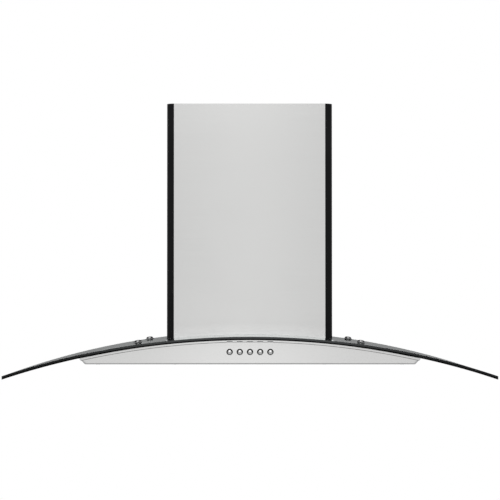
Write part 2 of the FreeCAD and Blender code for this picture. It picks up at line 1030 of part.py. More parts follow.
def lower_cover_front():
    half = chimney_width / 2 - trim_radius
    rear = chimney_depth - chimney_sheet
    return lower_cover_panel(-half, half, rear, chimney_depth, chimney_top_z)


def lower_cover_side():
    """Side sheet with a narrow return along the wall, which ends below the upper bracket."""
    half = chimney_width / 2
    rear = chimney_wall_gap
    front = chimney_depth - trim_radius
    side = lower_cover_panel(half - chimney_sheet, half, rear, front, chimney_top_z)
    back_top = chimney_top_z - chimney_return_top_gap
    back = lower_cover_panel(half - chimney_return, half, rear, rear + chimney_sheet, back_top)
    return side.fuse(back).cut(group(cover_screw_shanks()))


def corner_trim():
    """Quarter-round strip at a front corner, with a tongue behind each panel."""
    centre_x = chimney_width / 2 - trim_radius
    centre_depth = chimney_depth - trim_radius
    low = crown_z - body_drop
    quarter = ring_z(
        trim_radius, trim_radius - trim_thickness, centre_x, centre_depth, low, chimney_top_z
    )
    corner = block(
        centre_x,
        centre_x + trim_radius + overrun,
        centre_depth,
        centre_depth + trim_radius + overrun,
        low,
        chimney_top_z,
    )
    strip = quarter.common(corner)
    inner = trim_radius - trim_thickness
    outer = trim_radius - chimney_sheet
    behind_front = block(
        centre_x - trim_tongue,
        centre_x,
        centre_depth + inner,
        centre_depth + outer,
        low,
        chimney_top_z,
    )
    behind_side = block(
        centre_x + inner,
        centre_x + outer,
        centre_depth - trim_tongue,
        centre_depth,
        low,
        chimney_top_z,
    )
    over = beside_arch(chimney_width, -cover_seat_gap, chimney_top_z + overrun, 0, glass_depth)
    return strip.fuse(behind_front).fuse(behind_side).common(over)


def cover_screw_places():
    """Depth and height of the screws that hold the lower cover's sides."""
    rear, front = cover_bracket_depths
    z = upper_bottom_z - cover_screw_fall
    return [(rear + cover_screw_inset, z), (front - cover_screw_inset, z)]


def cover_screw_shanks():
    half = chimney_width / 2
    return [
        rod_x(cover_screw_radius, half - cover_screw_length, half, depth, z)
        for depth, z in cover_screw_places()
    ]


def cover_screws():
    half = chimney_width / 2
    solids = []
    for shank, (depth, z) in zip(cover_screw_shanks(), cover_screw_places()):
        head = rod_x(cover_screw_head_radius, half, half + cover_screw_head_height, depth, z)
        screw = head.fuse(shank)
        solids.append(screw)
        solids.append(mirrored(screw))
    return group(solids)


def cover_bracket():
    """Folded channel between the blower housing and the lower cover's side."""
    rear, front = cover_bracket_depths
    inner = housing_width / 2
    outer = chimney_width / 2 - chimney_sheet
    top = upper_bottom_z - seat_gap
    low = top - cover_bracket_height
    whole = block(inner, outer, rear, front, low, top)
    hollow = block(
        inner + cover_bracket_sheet,
        outer - cover_bracket_sheet,
        rear - overrun,
        front + overrun,
        low - overrun,
        top - cover_bracket_sheet,
    )
    return whole.cut(hollow).cut(group(cover_screw_shanks()))


# Upper chimney cover


def rounded_front(half, rear, front, radius, z0, z1):
    """Upright block whose two front corners are rounded in plan."""
    solid = block(-half, half, rear, front, z0, z1)
    corners = [
        edge
        for edge in solid.Edges
        if all(abs(v.Y + front) < same_place for v in edge.Vertexes)
        and abs(edge.Vertexes[0].X - edge.Vertexes[1].X) < same_place
    ]
    return solid.makeFillet(radius, corners)


def upper_cover():
    """Folded sheet that slides in the lower cover, notched behind for its wall bracket."""
    outer = rounded_front(
        upper_half_width,
        upper_wall_gap,
        upper_front_depth,
        upper_corner_radius,
        upper_bottom_z,
        upper_top_z,
    )
    inner = rounded_front(
        upper_half_width - upper_sheet,
        upper_wall_gap + upper_sheet,
        upper_front_depth - upper_sheet,
        upper_corner_radius - upper_sheet,
        upper_bottom_z - overrun,
        upper_top_z + overrun,
    )
    back_half = upper_half_width - upper_return
    back = block(
        -back_half,
        back_half,
        0,
        upper_wall_gap + 2 * upper_sheet,
        upper_bottom_z - overrun,
        upper_top_z + overrun,
    )
    notch_half = upper_half_width - upper_sheet
    notch = block(
        -notch_half,
        notch_half,
        0,
        upper_wall_gap + 2 * upper_sheet,
        upper_top_z - upper_notch_height,
        upper_top_z + overrun,
    )
    return outer.cut(inner).cut(back).cut(notch).cut(group(upper_screw_shanks()))


def upper_bracket_z():
    """Height of the middle of the upper bracket."""
    return upper_top_z - upper_bracket_top_gap - upper_bracket_height / 2


def upper_screw_shanks():
    reach = upper_half_width
    rod = rod_x(
        upper_screw_radius,
        reach - upper_screw_length,
        reach,
        upper_screw_depth,
        upper_bracket_z(),
    )
    return [rod, mirrored(rod)]


def upper_bracket():
    """Strip on the wall with an ear bent forward at each end."""
    half = upper_half_width - upper_sheet
    low = upper_bracket_z() - upper_bracket_height / 2
    high = upper_bracket_z() + upper_bracket_height / 2
    whole = block(-half, half, 0, upper_bracket_ear, low, high)
    hollow = block(
        upper_bracket_sheet - half,
        half - upper_bracket_sheet,
        upper_bracket_sheet,
        upper_bracket_ear + overrun,
        low - overrun,
        high + overrun,
    )
    bracket = whole.cut(hollow).cut(group(upper_screw_shanks()))
    for side in (-1, 1):
        x = side * upper_bracket_hole_spacing / 2
        bracket = bracket.cut(
            rod_y(upper_bracket_hole_radius, x, -overrun, overrun, upper_bracket_z())
        )
    return bracket


def upper_screws():
    shank, opposite = upper_screw_shanks()
    head = rod_x(
        upper_screw_head_radius,
        upper_half_width,
        upper_half_width + upper_screw_head_height,
        upper_screw_depth,
        upper_bracket_z(),
    )
    screw = head.fuse(shank)
    return group([screw, mirrored(screw)])


# Blower


def blower_screw_places():
    """Screws along both sides of the housing's flange."""
    x = housing_width / 2 + housing_flange / 2
    depths = [housing_wall_gap + share * housing_depth for share in blower_screw_place_shares]
    return [(side * x, depth) for side in (-1, 1) for depth in depths]


def blower_housing():
    """Steel box, open below, with a flange that sits on the top plate."""
    half = housing_width / 2
    rear = housing_wall_gap
    front = housing_front_depth
    box = block(-half, half, rear, front, body_floor_z, housing_top_z)
    inside = block(
        housing_sheet - half,
        half - housing_sheet,
        rear + housing_sheet,
        front - housing_sheet,
        body_floor_z - overrun,
        housing_top_z - housing_sheet,
    )
    wide = half + housing_flange
    slab = arch_slab(
        wide,
        gasket_drop - housing_sheet,
        gasket_drop,
        rear - housing_flange / 2,
        front + housing_flange,
    )
    over = beside_arch(wide, gasket_drop, housing_top_z + overrun, 0, front + housing_flange)
    housing = box.common(over).fuse(slab).cut(inside)
    outlet = rod_z(
        collar_radius - collar_wall - collar_bead,
        0,
        outlet_depth,
        housing_top_z - overrun,
        housing_top_z + overrun,
    )
    housing = housing.cut(outlet)
    for x, depth in blower_screw_places():
        hole = upright(blower_screw_radius, -overrun, overrun)
        housing = housing.cut(on_arch(hole, x, depth, gasket_drop))
    return housing


def blower_screws():
    solids = []
    seat = gasket_drop - housing_sheet
    head = upright(blower_screw_head_radius, 0, blower_screw_head_height)
    shank = upright(blower_screw_radius, -blower_screw_length, blower_screw_head_height)
    for x, depth in blower_screw_places():
        solids.append(on_arch(head.fuse(shank), x, depth, seat))
    return group(solids)


def scroll_outline(extra, x, top_z):
    """The scroll's growing spiral and its straight outlet, moved outwards by extra."""
    first = scroll_first_radius + extra
    second = first + scroll_growth
    third = second + scroll_growth

    def at(depth, z):
        return Vector(x, -depth, z)

    def turned(depth, z, radius, turn):
        return at(depth + radius * math.sin(turn), z + radius * math.cos(turn))

    eighth = math.pi / 4
    lip_depth = wheel_depth + extra
    lip_turn = math.asin(extra / first)
    second_depth = wheel_depth - scroll_growth
    third_z = wheel_z + scroll_growth
    rear_depth = second_depth - third
    start = turned(wheel_depth, wheel_z, first, lip_turn)
    edges = [
        segment(at(lip_depth, top_z), start),
        arc(
            start,
            turned(wheel_depth, wheel_z, first, eighth),
            turned(wheel_depth, wheel_z, first, 2 * eighth),
        ),
        arc(
            turned(second_depth, wheel_z, second, 2 * eighth),
            turned(second_depth, wheel_z, second, 3 * eighth),
            turned(second_depth, wheel_z, second, 4 * eighth),
        ),
        arc(
            turned(second_depth, third_z, third, 4 * eighth),
            turned(second_depth, third_z, third, 5 * eighth),
            turned(second_depth, third_z, third, 6 * eighth),
        ),
        segment(turned(second_depth, third_z, third, 6 * eighth), at(rear_depth, top_z)),
        segment(at(rear_depth, top_z), at(lip_depth, top_z)),
    ]
    return Part.Face(Part.Wire(edges))


def blower_scroll():
    """Sheet scroll with an eye in each side and its outlet under the collar."""
    half = scroll_inner_length / 2
    top = housing_top_z - housing_sheet
    outer = scroll_outline(scroll_sheet, -half - scroll_sheet, top).extrude(
        Vector(2 * (half + scroll_sheet), 0, 0)
    )
    inner = scroll_outline(0, -half, top + overrun).extrude(Vector(2 * half, 0, 0))
    eyes = rod_x(scroll_eye_radius, -half - overrun, half + overrun, wheel_depth, wheel_z)
    return outer.cut(inner).cut(eyes)


def fan_wheel():
    """Double-inlet wheel: a middle disc, a crown of leaning blades and two end rings."""
    half = wheel_length / 2
    inner = wheel_radius - blade_length
    solids = []
    for x0, x1 in ((-half, wheel_ring - half), (half - wheel_ring, half)):
        rim = rod_x(wheel_radius, x0, x1, wheel_depth, wheel_z)
        solids.append(rim.cut(rod_x(inner, x0 - overrun, x1 + overrun, wheel_depth, wheel_z)))
    solids.append(rod_x(wheel_radius, -wheel_disc / 2, wheel_disc / 2, wheel_depth, wheel_z))
    centre = Vector(0, -wheel_depth, wheel_z)
    middle = (wheel_radius + inner) / 2
    reach = (blade_length - wheel_ring / 2) / 2
    for number in range(blade_count):
        blade = block(
            -half + wheel_ring / 2,
            half - wheel_ring / 2,
            wheel_depth - blade_thickness / 2,
            wheel_depth + blade_thickness / 2,
            wheel_z + middle - reach,
            wheel_z + middle + reach,
        )
        blade.rotate(
            Vector(0, -wheel_depth, wheel_z + middle), Vector(1, 0, 0), math.degrees(blade_lean)
        )
        blade.rotate(centre, Vector(1, 0, 0), 360 * number / blade_count)
        solids.append(blade)
    solids.append(rod_x(hub_radius, -hub_back, hub_front, wheel_depth, wheel_z))
    wheel = solids[0].multiFuse(solids[1:])
    return wheel.cut(rod_x(shaft_radius, -half, half, wheel_depth, wheel_z))


def motor_front_x():
    """The motor's face towards the wheel's disc."""
    return -hub_back - motor_wheel_gap


def fan_shaft():
    """Shaft out of the motor, with the nut that holds the wheel on it."""
    x0 = motor_front_x() - shaft_in_motor
    x1 = hub_front + shaft_nut_length + shaft_end
    shaft = rod_x(shaft_radius, x0, x1, wheel_depth, wheel_z)
    nut = rod_x(shaft_nut_radius, hub_front, hub_front + shaft_nut_length, wheel_depth, wheel_z)
    return shaft.fuse(nut)


def motor():
    """Closed motor with a bearing boss and a bore for the running shaft."""
    front = motor_front_x()
    rear = front - motor_length
    body = rod_x(motor_radius, rear, front - motor_boss_length, wheel_depth, wheel_z)
    body = body.makeFillet(
        motor_edge_radius, [edge for edge in body.Edges if len(edge.Vertexes) == 1]
    )
    boss = rod_x(motor_boss_radius, rear - motor_boss_length, front, wheel_depth, wheel_z)
    bore = rod_x(
        shaft_radius + running_gap,
        front - shaft_in_motor - motor_wheel_gap,
        front + overrun,
        wheel_depth,
        wheel_z,
    )
    return body.fuse(boss).cut(bore)


def motor_bracket():
    """Clamping ring with three arms whose feet stand on the scroll's side."""
    plate_x = -scroll_inner_length / 2 - scroll_sheet
    ring_x0 = motor_front_x() - motor_length + spider_set_back
    ring_x1 = ring_x0 + spider_length
    ring = rod_x(motor_radius + spider_ring, ring_x0, ring_x1, wheel_depth, wheel_z)
    solids = [ring]
    centre = Vector(0, -wheel_depth, wheel_z)
    half = spider_arm_width / 2
    for number in range(spider_arm_count):
        low = wheel_z + motor_radius + spider_ring / 2
        arm = block(
            ring_x0,
            ring_x0 + spider_arm_sheet,
            wheel_depth - half,
            wheel_depth + half,
            low,
            wheel_z + spider_reach,
        )
        leg = block(
            ring_x0,
            plate_x,
            wheel_depth - half,
            wheel_depth + half,
            wheel_z + spider_reach - spider_arm_sheet,
            wheel_z + spider_reach,
        )
        foot = block(
            plate_x - spider_foot_sheet,
            plate_x,
            wheel_depth - half,
            wheel_depth + half,
            wheel_z + spider_reach - spider_arm_sheet,
            wheel_z + spider_reach + spider_foot / 2,
        )
        leg_piece = arm.fuse(leg).fuse(foot)
        leg_piece.rotate(centre, Vector(1, 0, 0), 360 * number / spider_arm_count + 180)
        solids.append(leg_piece)
    spider = solids[0].multiFuse(solids[1:])
    hole = rod_x(motor_radius, ring_x0 - overrun, ring_x1 + overrun, wheel_depth, wheel_z)
    return spider.cut(hole)


# Outlet collar and damper


def outlet_collar():
    """Duct collar on the housing, with the bead that the flaps close on."""
    inner = collar_radius - collar_wall
    flange_top = housing_top_z + collar_flange_sheet
    flange = rod_z(collar_radius + collar_flange, 0, outlet_depth, housing_top_z, flange_top)
    tube = rod_z(collar_radius, 0, outlet_depth, housing_top_z, housing_top_z + collar_height)
    whole = flange.fuse(tube).cut(
        rod_z(inner, 0, outlet_depth, housing_top_z - overrun, housing_top_z + collar_height + overrun)
    )
    bead_top = spindle_z - knuckle_radius - seat_gap
    bead = ring_z(
        inner + same_place,
        inner - collar_bead,
        0,
        outlet_depth,
        bead_top - collar_bead_height,
        bead_top,
    )
    return whole.fuse(bead).cut(spindle_rod(collar_radius + overrun))


def spindle_rod(reach):
    return rod_y(spindle_radius, 0, outlet_depth - reach, outlet_depth + reach, spindle_z)


def damper_spindle():
    """Rod that ends just inside the collar's outer face, so that a duct slides over it."""
    return spindle_rod(collar_radius - spindle_recess)


def damper_flap(side):
    """Half disc that hangs on the spindle by two knuckles."""
    radius = collar_radius - collar_wall - flap_gap
    low = spindle_z - knuckle_radius
    high = low + flap_sheet
    disc = rod_z(radius, 0, outlet_depth, low, high)
    edge = knuckle_radius + flap_edge_gap
    keep = block(
        edge,
        radius + overrun,
        outlet_depth - radius - overrun,
        outlet_depth + radius + overrun,
        low - overrun,
        high + overrun,
    )
    if side < 0:
        keep = mirrored(keep)
    flap = disc.common(keep)
    step = knuckle_span / knuckle_count
    first = 0 if side > 0 else 1
    for number in range(first, knuckle_count, 2):
        d0 = outlet_depth - knuckle_span / 2 + number * step + knuckle_gap / 2
        d1 = d0 + step - knuckle_gap
        bridge = block(0, edge + flap_sheet, d0, d1, low, high)
        if side < 0:
            bridge = mirrored(bridge)
        flap = flap.fuse(rod_y(knuckle_radius, 0, d0, d1, spindle_z)).fuse(bridge)
    bore = rod_y(
        spindle_radius + running_gap,
        0,
        outlet_depth - knuckle_span,
        outlet_depth + knuckle_span,
        spindle_z,
    )
    return flap.cut(bore)


# Electrical parts on top of the housing


def junction_edges():
    x0 = junction_side_gap - housing_width / 2
    return x0, x0 + junction_width, junction_rear_depth, junction_front_depth


def junction_box():
    x0, x1, rear, front = junction_edges()
    top = housing_top_z + junction_height
    box = block(x0, x1, rear, front, housing_top_z, top)
    inside = block(
        x0 + junction_wall,
        x1 - junction_wall,
        rear + junction_wall,
        front - junction_wall,
        housing_top_z + junction_wall,
        top + overrun,
    )
    return box.cut(inside)


def junction_lid():
    x0, x1, rear, front = junction_edges()
    low = housing_top_z + junction_height
    lid = block(x0, x1, rear, front, low, low + junction_lid_sheet)
    hole = rod_z(
        gland_thread_radius, x0 + gland_place, (rear + front) / 2, low - overrun, low + overrun
    )
    return lid.cut(hole)


def cable_gland():
    """Mains inlet in the lid: locknut below, hexagon and dome nut above."""
    x0, x1, rear, front = junction_edges()
    x = x0 + gland_place
    depth = (rear + front) / 2
    low = housing_top_z + junction_height
    seat = low + junction_lid_sheet
    hex_top = seat + gland_hex_height
    top = hex_top + gland_dome_height
    locknut = hexagon_z(gland_hex_radius, x, depth, low - gland_locknut_height, low)
    thread = rod_z(gland_thread_radius, x, depth, low, seat)
    body = hexagon_z(gland_hex_radius, x, depth, seat, hex_top)
    dome = rod_z(gland_dome_radius, x, depth, hex_top, top)
    rims = [edge for edge in dome.Edges if all(abs(v.Z - top) < same_place for v in edge.Vertexes)]
    dome = dome.makeFillet(gland_dome_radius / 4, rims)
    gland = locknut.fuse(thread).fuse(body).fuse(dome)
    return gland.cut(rod_z(gland_bore, x, depth, low - 2 * overrun, top + overrun))


def capacitor_place():
    depth = housing_front_depth - capacitor_front_gap
    return depth, housing_top_z + clip_sheet + capacitor_radius


def capacitor():
    depth, z = capacitor_place()
    half = capacitor_length / 2
    return rod_x(capacitor_radius, capacitor_x - half, capacitor_x + half, depth, z)


def capacitor_clip():
    """Band round the capacitor with a foot on the housing."""
    depth, z = capacitor_place()
    x0 = capacitor_x - clip_length / 2
    x1 = capacitor_x + clip_length / 2
    band = rod_x(capacitor_radius + clip_sheet, x0, x1, depth, z)
    foot_front = depth + capacitor_radius + clip_foot
    foot = block(x0, x1, depth, foot_front, housing_top_z, housing_top_z + clip_sheet)
    bore = rod_x(capacitor_radius, x0 - overrun, x1 + overrun, depth, z)
    return band.fuse(foot).cut(bore)


# Wall plate and hanger


def wall_plate():
    """Plate with four screw holes and two hooks that the hood hangs on."""
    half = wall_hole_spacing_x / 2 + wall_plate_side_margin
    tall = wall_plate_height / 2
    plate = block(-half, half, 0, wall_plate_sheet, -tall, tall)
    reach = wall_plate_sheet + hook_reach
    for side in (-1, 1):
        x0 = side * hook_spacing / 2 - hook_width / 2
        shelf = block(
            x0,
            x0 + hook_width,
            wall_plate_sheet,
            reach,
            hook_base_rise - hook_sheet,
            hook_base_rise,
        )
        upstand = block(
            x0,
            x0 + hook_width,
            reach - hook_sheet,
            reach,
            hook_base_rise - hook_sheet,
            hook_base_rise + hook_height,
        )
        plate = plate.fuse(shelf).fuse(upstand)
    for side in (-1, 1):
        for level in (-1, 1):
            hole = rod_y(
                wall_hole_radius,
                side * wall_hole_spacing_x / 2,
                -overrun,
                wall_plate_sheet + overrun,
                level * wall_hole_spacing_z / 2,
            )
            plate = plate.cut(hole)
    return plate


def hanger_rail():
    """Folded rail on the back of the housing that hooks down behind the wall plate's hooks."""
    half = hanger_width / 2
    ridge = hook_base_rise + hook_height + seat_gap
    top = ridge + hanger_sheet
    channel_rear = wall_plate_sheet + (hook_reach - hook_sheet - hanger_sheet) / 2
    outline = [
        (housing_wall_gap, top),
        (channel_rear, top),
        (channel_rear, hook_base_rise + seat_gap),
        (channel_rear + hanger_sheet, hook_base_rise + seat_gap),
        (channel_rear + hanger_sheet, ridge),
        (housing_wall_gap - hanger_sheet, ridge),
        (housing_wall_gap - hanger_sheet, top - hanger_leg),
        (housing_wall_gap, top - hanger_leg),
    ]
    return prism_x(outline, -half, half)


def make_parts():
    """Every sub-part under its node's name."""
    button_names = ("power", "low_speed", "medium_speed", "high_speed", "light")
    parts = {
        "glass_canopy": glass_canopy(),
        "glass_gasket": glass_gasket(),
        "glass_screws": glass_screws(),
        "glass_grommets": glass_grommets(),
        "canopy_shell": canopy_shell(),
        "canopy_top_plate": canopy_top_plate(),
        "indicator_lenses": indicator_lenses(),
        "bottom_frame": bottom_frame(),
        "frame_screws": frame_screws(),
        "button_bezels": button_bezels(),
        "switch_block": switch_block(),
        "lower_cover_front": lower_cover_front(),
        "lower_cover_screws": cover_screws(),
        "upper_cover": upper_cover(),
        "upper_bracket": upper_bracket(),
        "upper_cover_screws": upper_screws(),
        "blower_housing": blower_housing(),
        "blower_screws": blower_screws(),
        "blower_scroll": blower_scroll(),
        "fan_wheel": fan_wheel(),
        "fan_shaft": fan_shaft(),
        "motor": motor(),
        "motor_bracket": motor_bracket(),
        "outlet_collar": outlet_collar(),
        "damper_spindle": damper_spindle(),
        "junction_box": junction_box(),
        "junction_box_lid": junction_lid(),
        "cable_gland": cable_gland(),
        "capacitor": capacitor(),
        "capacitor_clip": capacitor_clip(),
        "wall_plate": wall_plate(),
        "hanger_rail": hanger_rail(),
    }
    for name, x in zip(button_names, button_places):
        parts[name + "_button"] = push_button(x)
    for word, side in (("left", -1), ("right", 1)):
        parts["lamp_bezel_" + word] = lamp_bezel(side)
        parts["lamp_lens_" + word] = lamp_lens(side)
        parts["lamp_housing_" + word] = lamp_housing(side)
        parts["damper_flap_" + word] = damper_flap(side)
    handed = {
        "filter_frame": filter_frame(),
        "filter_baffles": filter_baffles(),
        "filter_latch": filter_latch(),
        "lower_cover_side": lower_cover_side(),
        "corner_trim": corner_trim(),
        "cover_bracket": cover_bracket(),
    }
    for name, shape in handed.items():
        parts[name + "_right"] = shape
        parts[name + "_left"] = mirrored(shape)
    return parts


os.makedirs("parts", exist_ok=True)
for node, solid in make_parts().items():
    solid.exportStep("parts/" + node + ".step")
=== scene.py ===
import json
import math

import bmesh
import bpy
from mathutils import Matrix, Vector


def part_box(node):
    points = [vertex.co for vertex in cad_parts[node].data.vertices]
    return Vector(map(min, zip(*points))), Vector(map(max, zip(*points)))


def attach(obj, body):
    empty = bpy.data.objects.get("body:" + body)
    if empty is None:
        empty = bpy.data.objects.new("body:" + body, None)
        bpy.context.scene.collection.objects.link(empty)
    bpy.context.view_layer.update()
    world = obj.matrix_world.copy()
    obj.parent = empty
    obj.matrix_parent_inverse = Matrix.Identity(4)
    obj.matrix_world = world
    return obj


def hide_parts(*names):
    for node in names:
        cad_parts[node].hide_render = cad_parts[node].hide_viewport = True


# A wall mount range hood: brushed steel body and chimney cover, smoked glass canopy.
# Metres, +Z up. The wall is the plane Y = 0 and the hood reaches from it towards -Y.
# A depth is a distance from the wall, so what lies at a depth has its negative as Y.

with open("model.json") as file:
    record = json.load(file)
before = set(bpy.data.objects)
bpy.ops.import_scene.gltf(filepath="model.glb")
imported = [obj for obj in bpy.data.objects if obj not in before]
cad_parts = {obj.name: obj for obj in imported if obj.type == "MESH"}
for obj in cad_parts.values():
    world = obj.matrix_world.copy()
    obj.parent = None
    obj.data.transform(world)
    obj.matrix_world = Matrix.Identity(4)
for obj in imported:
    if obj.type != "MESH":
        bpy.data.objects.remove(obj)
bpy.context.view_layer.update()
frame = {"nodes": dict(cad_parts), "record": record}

millimetre = 0.001
weld_distance = 0.01 * millimetre

# Glass canopy
glass_low, glass_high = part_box("glass_canopy")
glass_half = glass_high.x
glass_front = -glass_low.y
glass_rear = -glass_high.y
glass_crown = glass_high.z
glass_thickness = 6.0 * millimetre
glass_arch_radius = 1415.0 * millimetre
glass_bow = 85.0 * millimetre
glass_front_corner = 12.0 * millimetre
glass_rear_corner = 8.0 * millimetre
glass_notch_half = 145.0 * millimetre
glass_notch_front = 285.0 * millimetre
glass_notch_corner = 12.0 * millimetre
glass_edge_round = 2.6 * millimetre
glass_station_count = 64
glass_corner_station_count = 14
arch_centre_z = glass_crown - glass_arch_radius

# How much the glass mirrors at most, before the chimney and beside it, and where it fades
fade_start = 146.5 * millimetre
fade_width = 4.0 * millimetre
mirror_share_before_chimney = 0.95
mirror_share_beside = 0.27

# Lip of the top plate under the glass, and the painted shadow line along its lower edge
lip_drop = 11.3 * millimetre
lip_shadow_width = 0.9 * millimetre

# Painted light: a brighter band along the chimney's foot
foot_light_height = 26.0 * millimetre
foot_light_gain = 0.4

# Folds of the body's shell, along which shade is painted
shell_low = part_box("canopy_shell")[0]
shell_depth = -shell_low.y
shell_floor_z = shell_low.z
shell_bottom_half = 297.5 * millimetre
shell_end_angle = math.radians(42.3)
shell_corner = 4.5 * millimetre
shell_corner_end = shell_corner * 0.3
shell_fold = 2.5 * millimetre
shell_fold_start = shell_fold * 0.5

# Push buttons in their rings: their place, and where light and shade are painted on them: a painted
# highlight and painted shade on the caps, painted light along the rings' lower edges
button_low, button_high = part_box("medium_speed_button")
button_height = (button_low.z + button_high.z) / 2
button_pitch = 18.3 * millimetre
button_highlight_radius = 2.2 * millimetre
button_highlight_rise = 2.1 * millimetre
button_highlight_inner = button_highlight_radius * 0.6
button_highlight_outer = button_highlight_radius * 1.3
button_highlight_noise_reach = button_highlight_radius * 0.2
button_shade_clear_start = button_highlight_radius * 0.3
button_edge_start = 3.1 * millimetre
button_edge_end = 3.8 * millimetre
ring_radius = 5.8 * millimetre
ring_light_lean = 0.3
ring_light_start = ring_radius * 0.3
ring_light_end = ring_radius * 1.1
ring_light_noise_reach = ring_radius * 0.3

# Domed caps of the glass screws, with a painted dark reflection on their left and right flanks
cap_height = 4.6 * millimetre
cap_radius = 6.6 * millimetre
cap_top_radius = 6.0 * millimetre
cap_wall = 2.4 * millimetre
cap_rise = 1.4 * millimetre
cap_dome_share = 0.97
cap_dark_side_start = 2.6 * millimetre
cap_dark_side_height = 3.5 * millimetre
cap_shank_radius = 2.5 * millimetre
cap_shank_length = 18.0 * millimetre
cap_edge_round = 0.3 * millimetre

# Shapes of the rings and the buttons in them
ring_rim_radius = 5.65 * millimetre
ring_throat_radius = 4.4 * millimetre
ring_rise = 1.2 * millimetre
ring_side_share = 0.7
ring_throat_share = 0.2
ring_edge_round = 0.15 * millimetre
ring_shank_radius = 4.95 * millimetre
ring_shank_length = 2.4 * millimetre
button_radius = 4.05 * millimetre
button_shoulder = 0.5 * millimetre
button_rim_inset = 0.15 * millimetre
button_edge_round = 0.2 * millimetre
button_dome_rise = 0.9 * millimetre
button_slope = math.radians(6.0)
button_flat_radius = 1.9 * millimetre
button_cap_length = 4.9 * millimetre
button_stem_radius = 2.0 * millimetre
button_stem_length = 18.0 * millimetre
button_dimple_radius = 0.75 * millimetre
button_dimple_depth = 0.25 * millimetre
button_dimple_fall = 1.1 * millimetre
outward = Vector((0, -1, 0))

# Grain of brushed metal: noise per metre along each axis, few along the scratches
long_grain = 6.0
fine_grain = 900.0
sideways_grain = (long_grain, fine_grain, fine_grain)
level_grain = (long_grain, long_grain, fine_grain)
scratch_strength = 0.12
scratch_height = 0.05 * millimetre

# Smoked glass, and its edge, with painted shade that darkens it downwards and out towards the tips
glass_tints = ((0.55, 0.565, 0.565), (0.58, 0.595, 0.595))
glass_mirror_colour = (0.9, 0.92, 0.92, 1.0)
glass_index = 1.45
edge_tints = ((0.002, 0.002, 0.002), (0.05, 0.052, 0.052))
edge_shade_start_share = 0.5
edge_shade_end_share = 0.68
edge_tip_shade_tone = 0.25
# Squares of the distance from the middle plane, between which the painted shade on the edge deepens
# outwards
edge_middle_square = 0.02
edge_tip_square = 0.11

# Tones of the painted shade along the lip and the folds, tints of the rings from dark plating to
# painted light, and of the buttons from satin to painted highlight, with painted shade round their
# upper edge
lip_shadow_tone = 0.25
fold_shade_tone = 0.55
ring_tints = ((0.004, 0.004, 0.004), (0.6, 0.6, 0.6))
button_tints = ((0.42, 0.42, 0.42), (0.97, 0.97, 0.97))
button_edge_shade_tone = 0.1

# Camera
camera_x = -0.02
camera_depth = 3.844
camera_height = -0.0318
camera_lens = 136.4
camera_tilt = math.radians(1.18)
camera_shift_x = 0.0222
camera_shift_y = 0.0125
camera_sensor = 36.0
camera_near = 0.05
camera_far = 50.0

# Lamps: name, place, target, width and height, power
lamps = (
    ("key_lamp", (-0.1, -2.4, 1.06), (0, -0.44, -0.13), (0.7, 0.35), 5.0),
    ("strip_lamp", (0.0, -4.4, 0.35), (0, -0.3, 0.0), (0.4, 1.7), 0.4),
    ("low_lamp", (0.0, -4.4, -0.35), (0, -0.4, -0.08), (0.6, 0.2), 0.09),
    ("left_lamp", (-1.5, -2.6, 1.7), (0, -0.2, 0.05), (1.2, 1.2), 12.0),
    ("fill_lamp", (1.9, -2.4, 0.7), (0, -0.2, 0.0), (1.4, 1.4), 5.0),
    ("top_lamp", (0.0, -0.6, 2.3), (0, -0.3, 0.0), (1.6, 1.6), 9.0),
)
world_colour = (0.97, 0.98, 1.0, 1.0)
world_strength = 0.85
plain_white = (1.0, 1.0, 1.0, 1.0)

# Floor and its fade into the white surroundings
floor_height = -0.75
floor_radius = 2.3
floor_fade_start_share = 0.35
floor_ring_count = 24
floor_side_count = 96
floor_tints = ((0.80, 0.80, 0.80), (0.83, 0.83, 0.83))


def new_material(name):
    """A node material and its Principled shader."""
    material = bpy.data.materials.new(name)
    material.use_nodes = True
    shader = material.node_tree.nodes["Principled BSDF"]
    return material, material.node_tree, shader


def object_axes(tree):
    """The object's own coordinates, a socket for each axis."""
    place = tree.nodes.new("ShaderNodeTexCoord")
    parts = tree.nodes.new("ShaderNodeSeparateXYZ")
    tree.links.new(place.outputs["Object"], parts.inputs["Vector"])
    return parts.outputs


def pattern(tree, scale, detail=3.0, stretch=(1.0, 1.0, 1.0), roughness=0.6):
    """A noise laid out in the object's own coordinates, stretched per axis."""
    place = tree.nodes.new("ShaderNodeTexCoord")
    mapping = tree.nodes.new("ShaderNodeMapping")
    mapping.inputs["Scale"].default_value = stretch
    noise = tree.nodes.new("ShaderNodeTexNoise")
    noise.inputs["Scale"].default_value = scale
    noise.inputs["Detail"].default_value = detail
    noise.inputs["Roughness"].default_value = roughness
    tree.links.new(place.outputs["Object"], mapping.inputs["Vector"])
    tree.links.new(mapping.outputs["Vector"], noise.inputs["Vector"])
    return noise.outputs["Fac"]


def blend_colours(tree, factor, low, high, start=0.35, end=0.65):
    """Runs from one colour to another as the factor rises from start to end."""
    ramp = tree.nodes.new("ShaderNodeValToRGB")
    ramp.color_ramp.elements[0].position = start
    ramp.color_ramp.elements[0].color = (*low, 1.0)
    ramp.color_ramp.elements[1].position = end
    ramp.color_ramp.elements[1].color = (*high, 1.0)
    tree.links.new(factor, ramp.inputs["Fac"])
    return ramp.outputs["Color"]


def blend_values(tree, factor, low, high, start=0.3, end=0.7):
    """Runs from one number to another as the factor goes from start to end."""
    span = tree.nodes.new("ShaderNodeMapRange")
    span.inputs["From Min"].default_value = start
    span.inputs["From Max"].default_value = end
    span.inputs["To Min"].default_value = low
    span.inputs["To Max"].default_value = high
    tree.links.new(factor, span.inputs["Value"])
    return span.outputs["Result"]


def math_node(tree, operation, *values):
    """A Math node that is fed by sockets and by floats."""
    node = tree.nodes.new("ShaderNodeMath")
    node.operation = operation
    for socket, value in zip(node.inputs, values):
        if isinstance(value, float):
            socket.default_value = value
        else:
            tree.links.new(value, socket)
    return node.outputs["Value"]


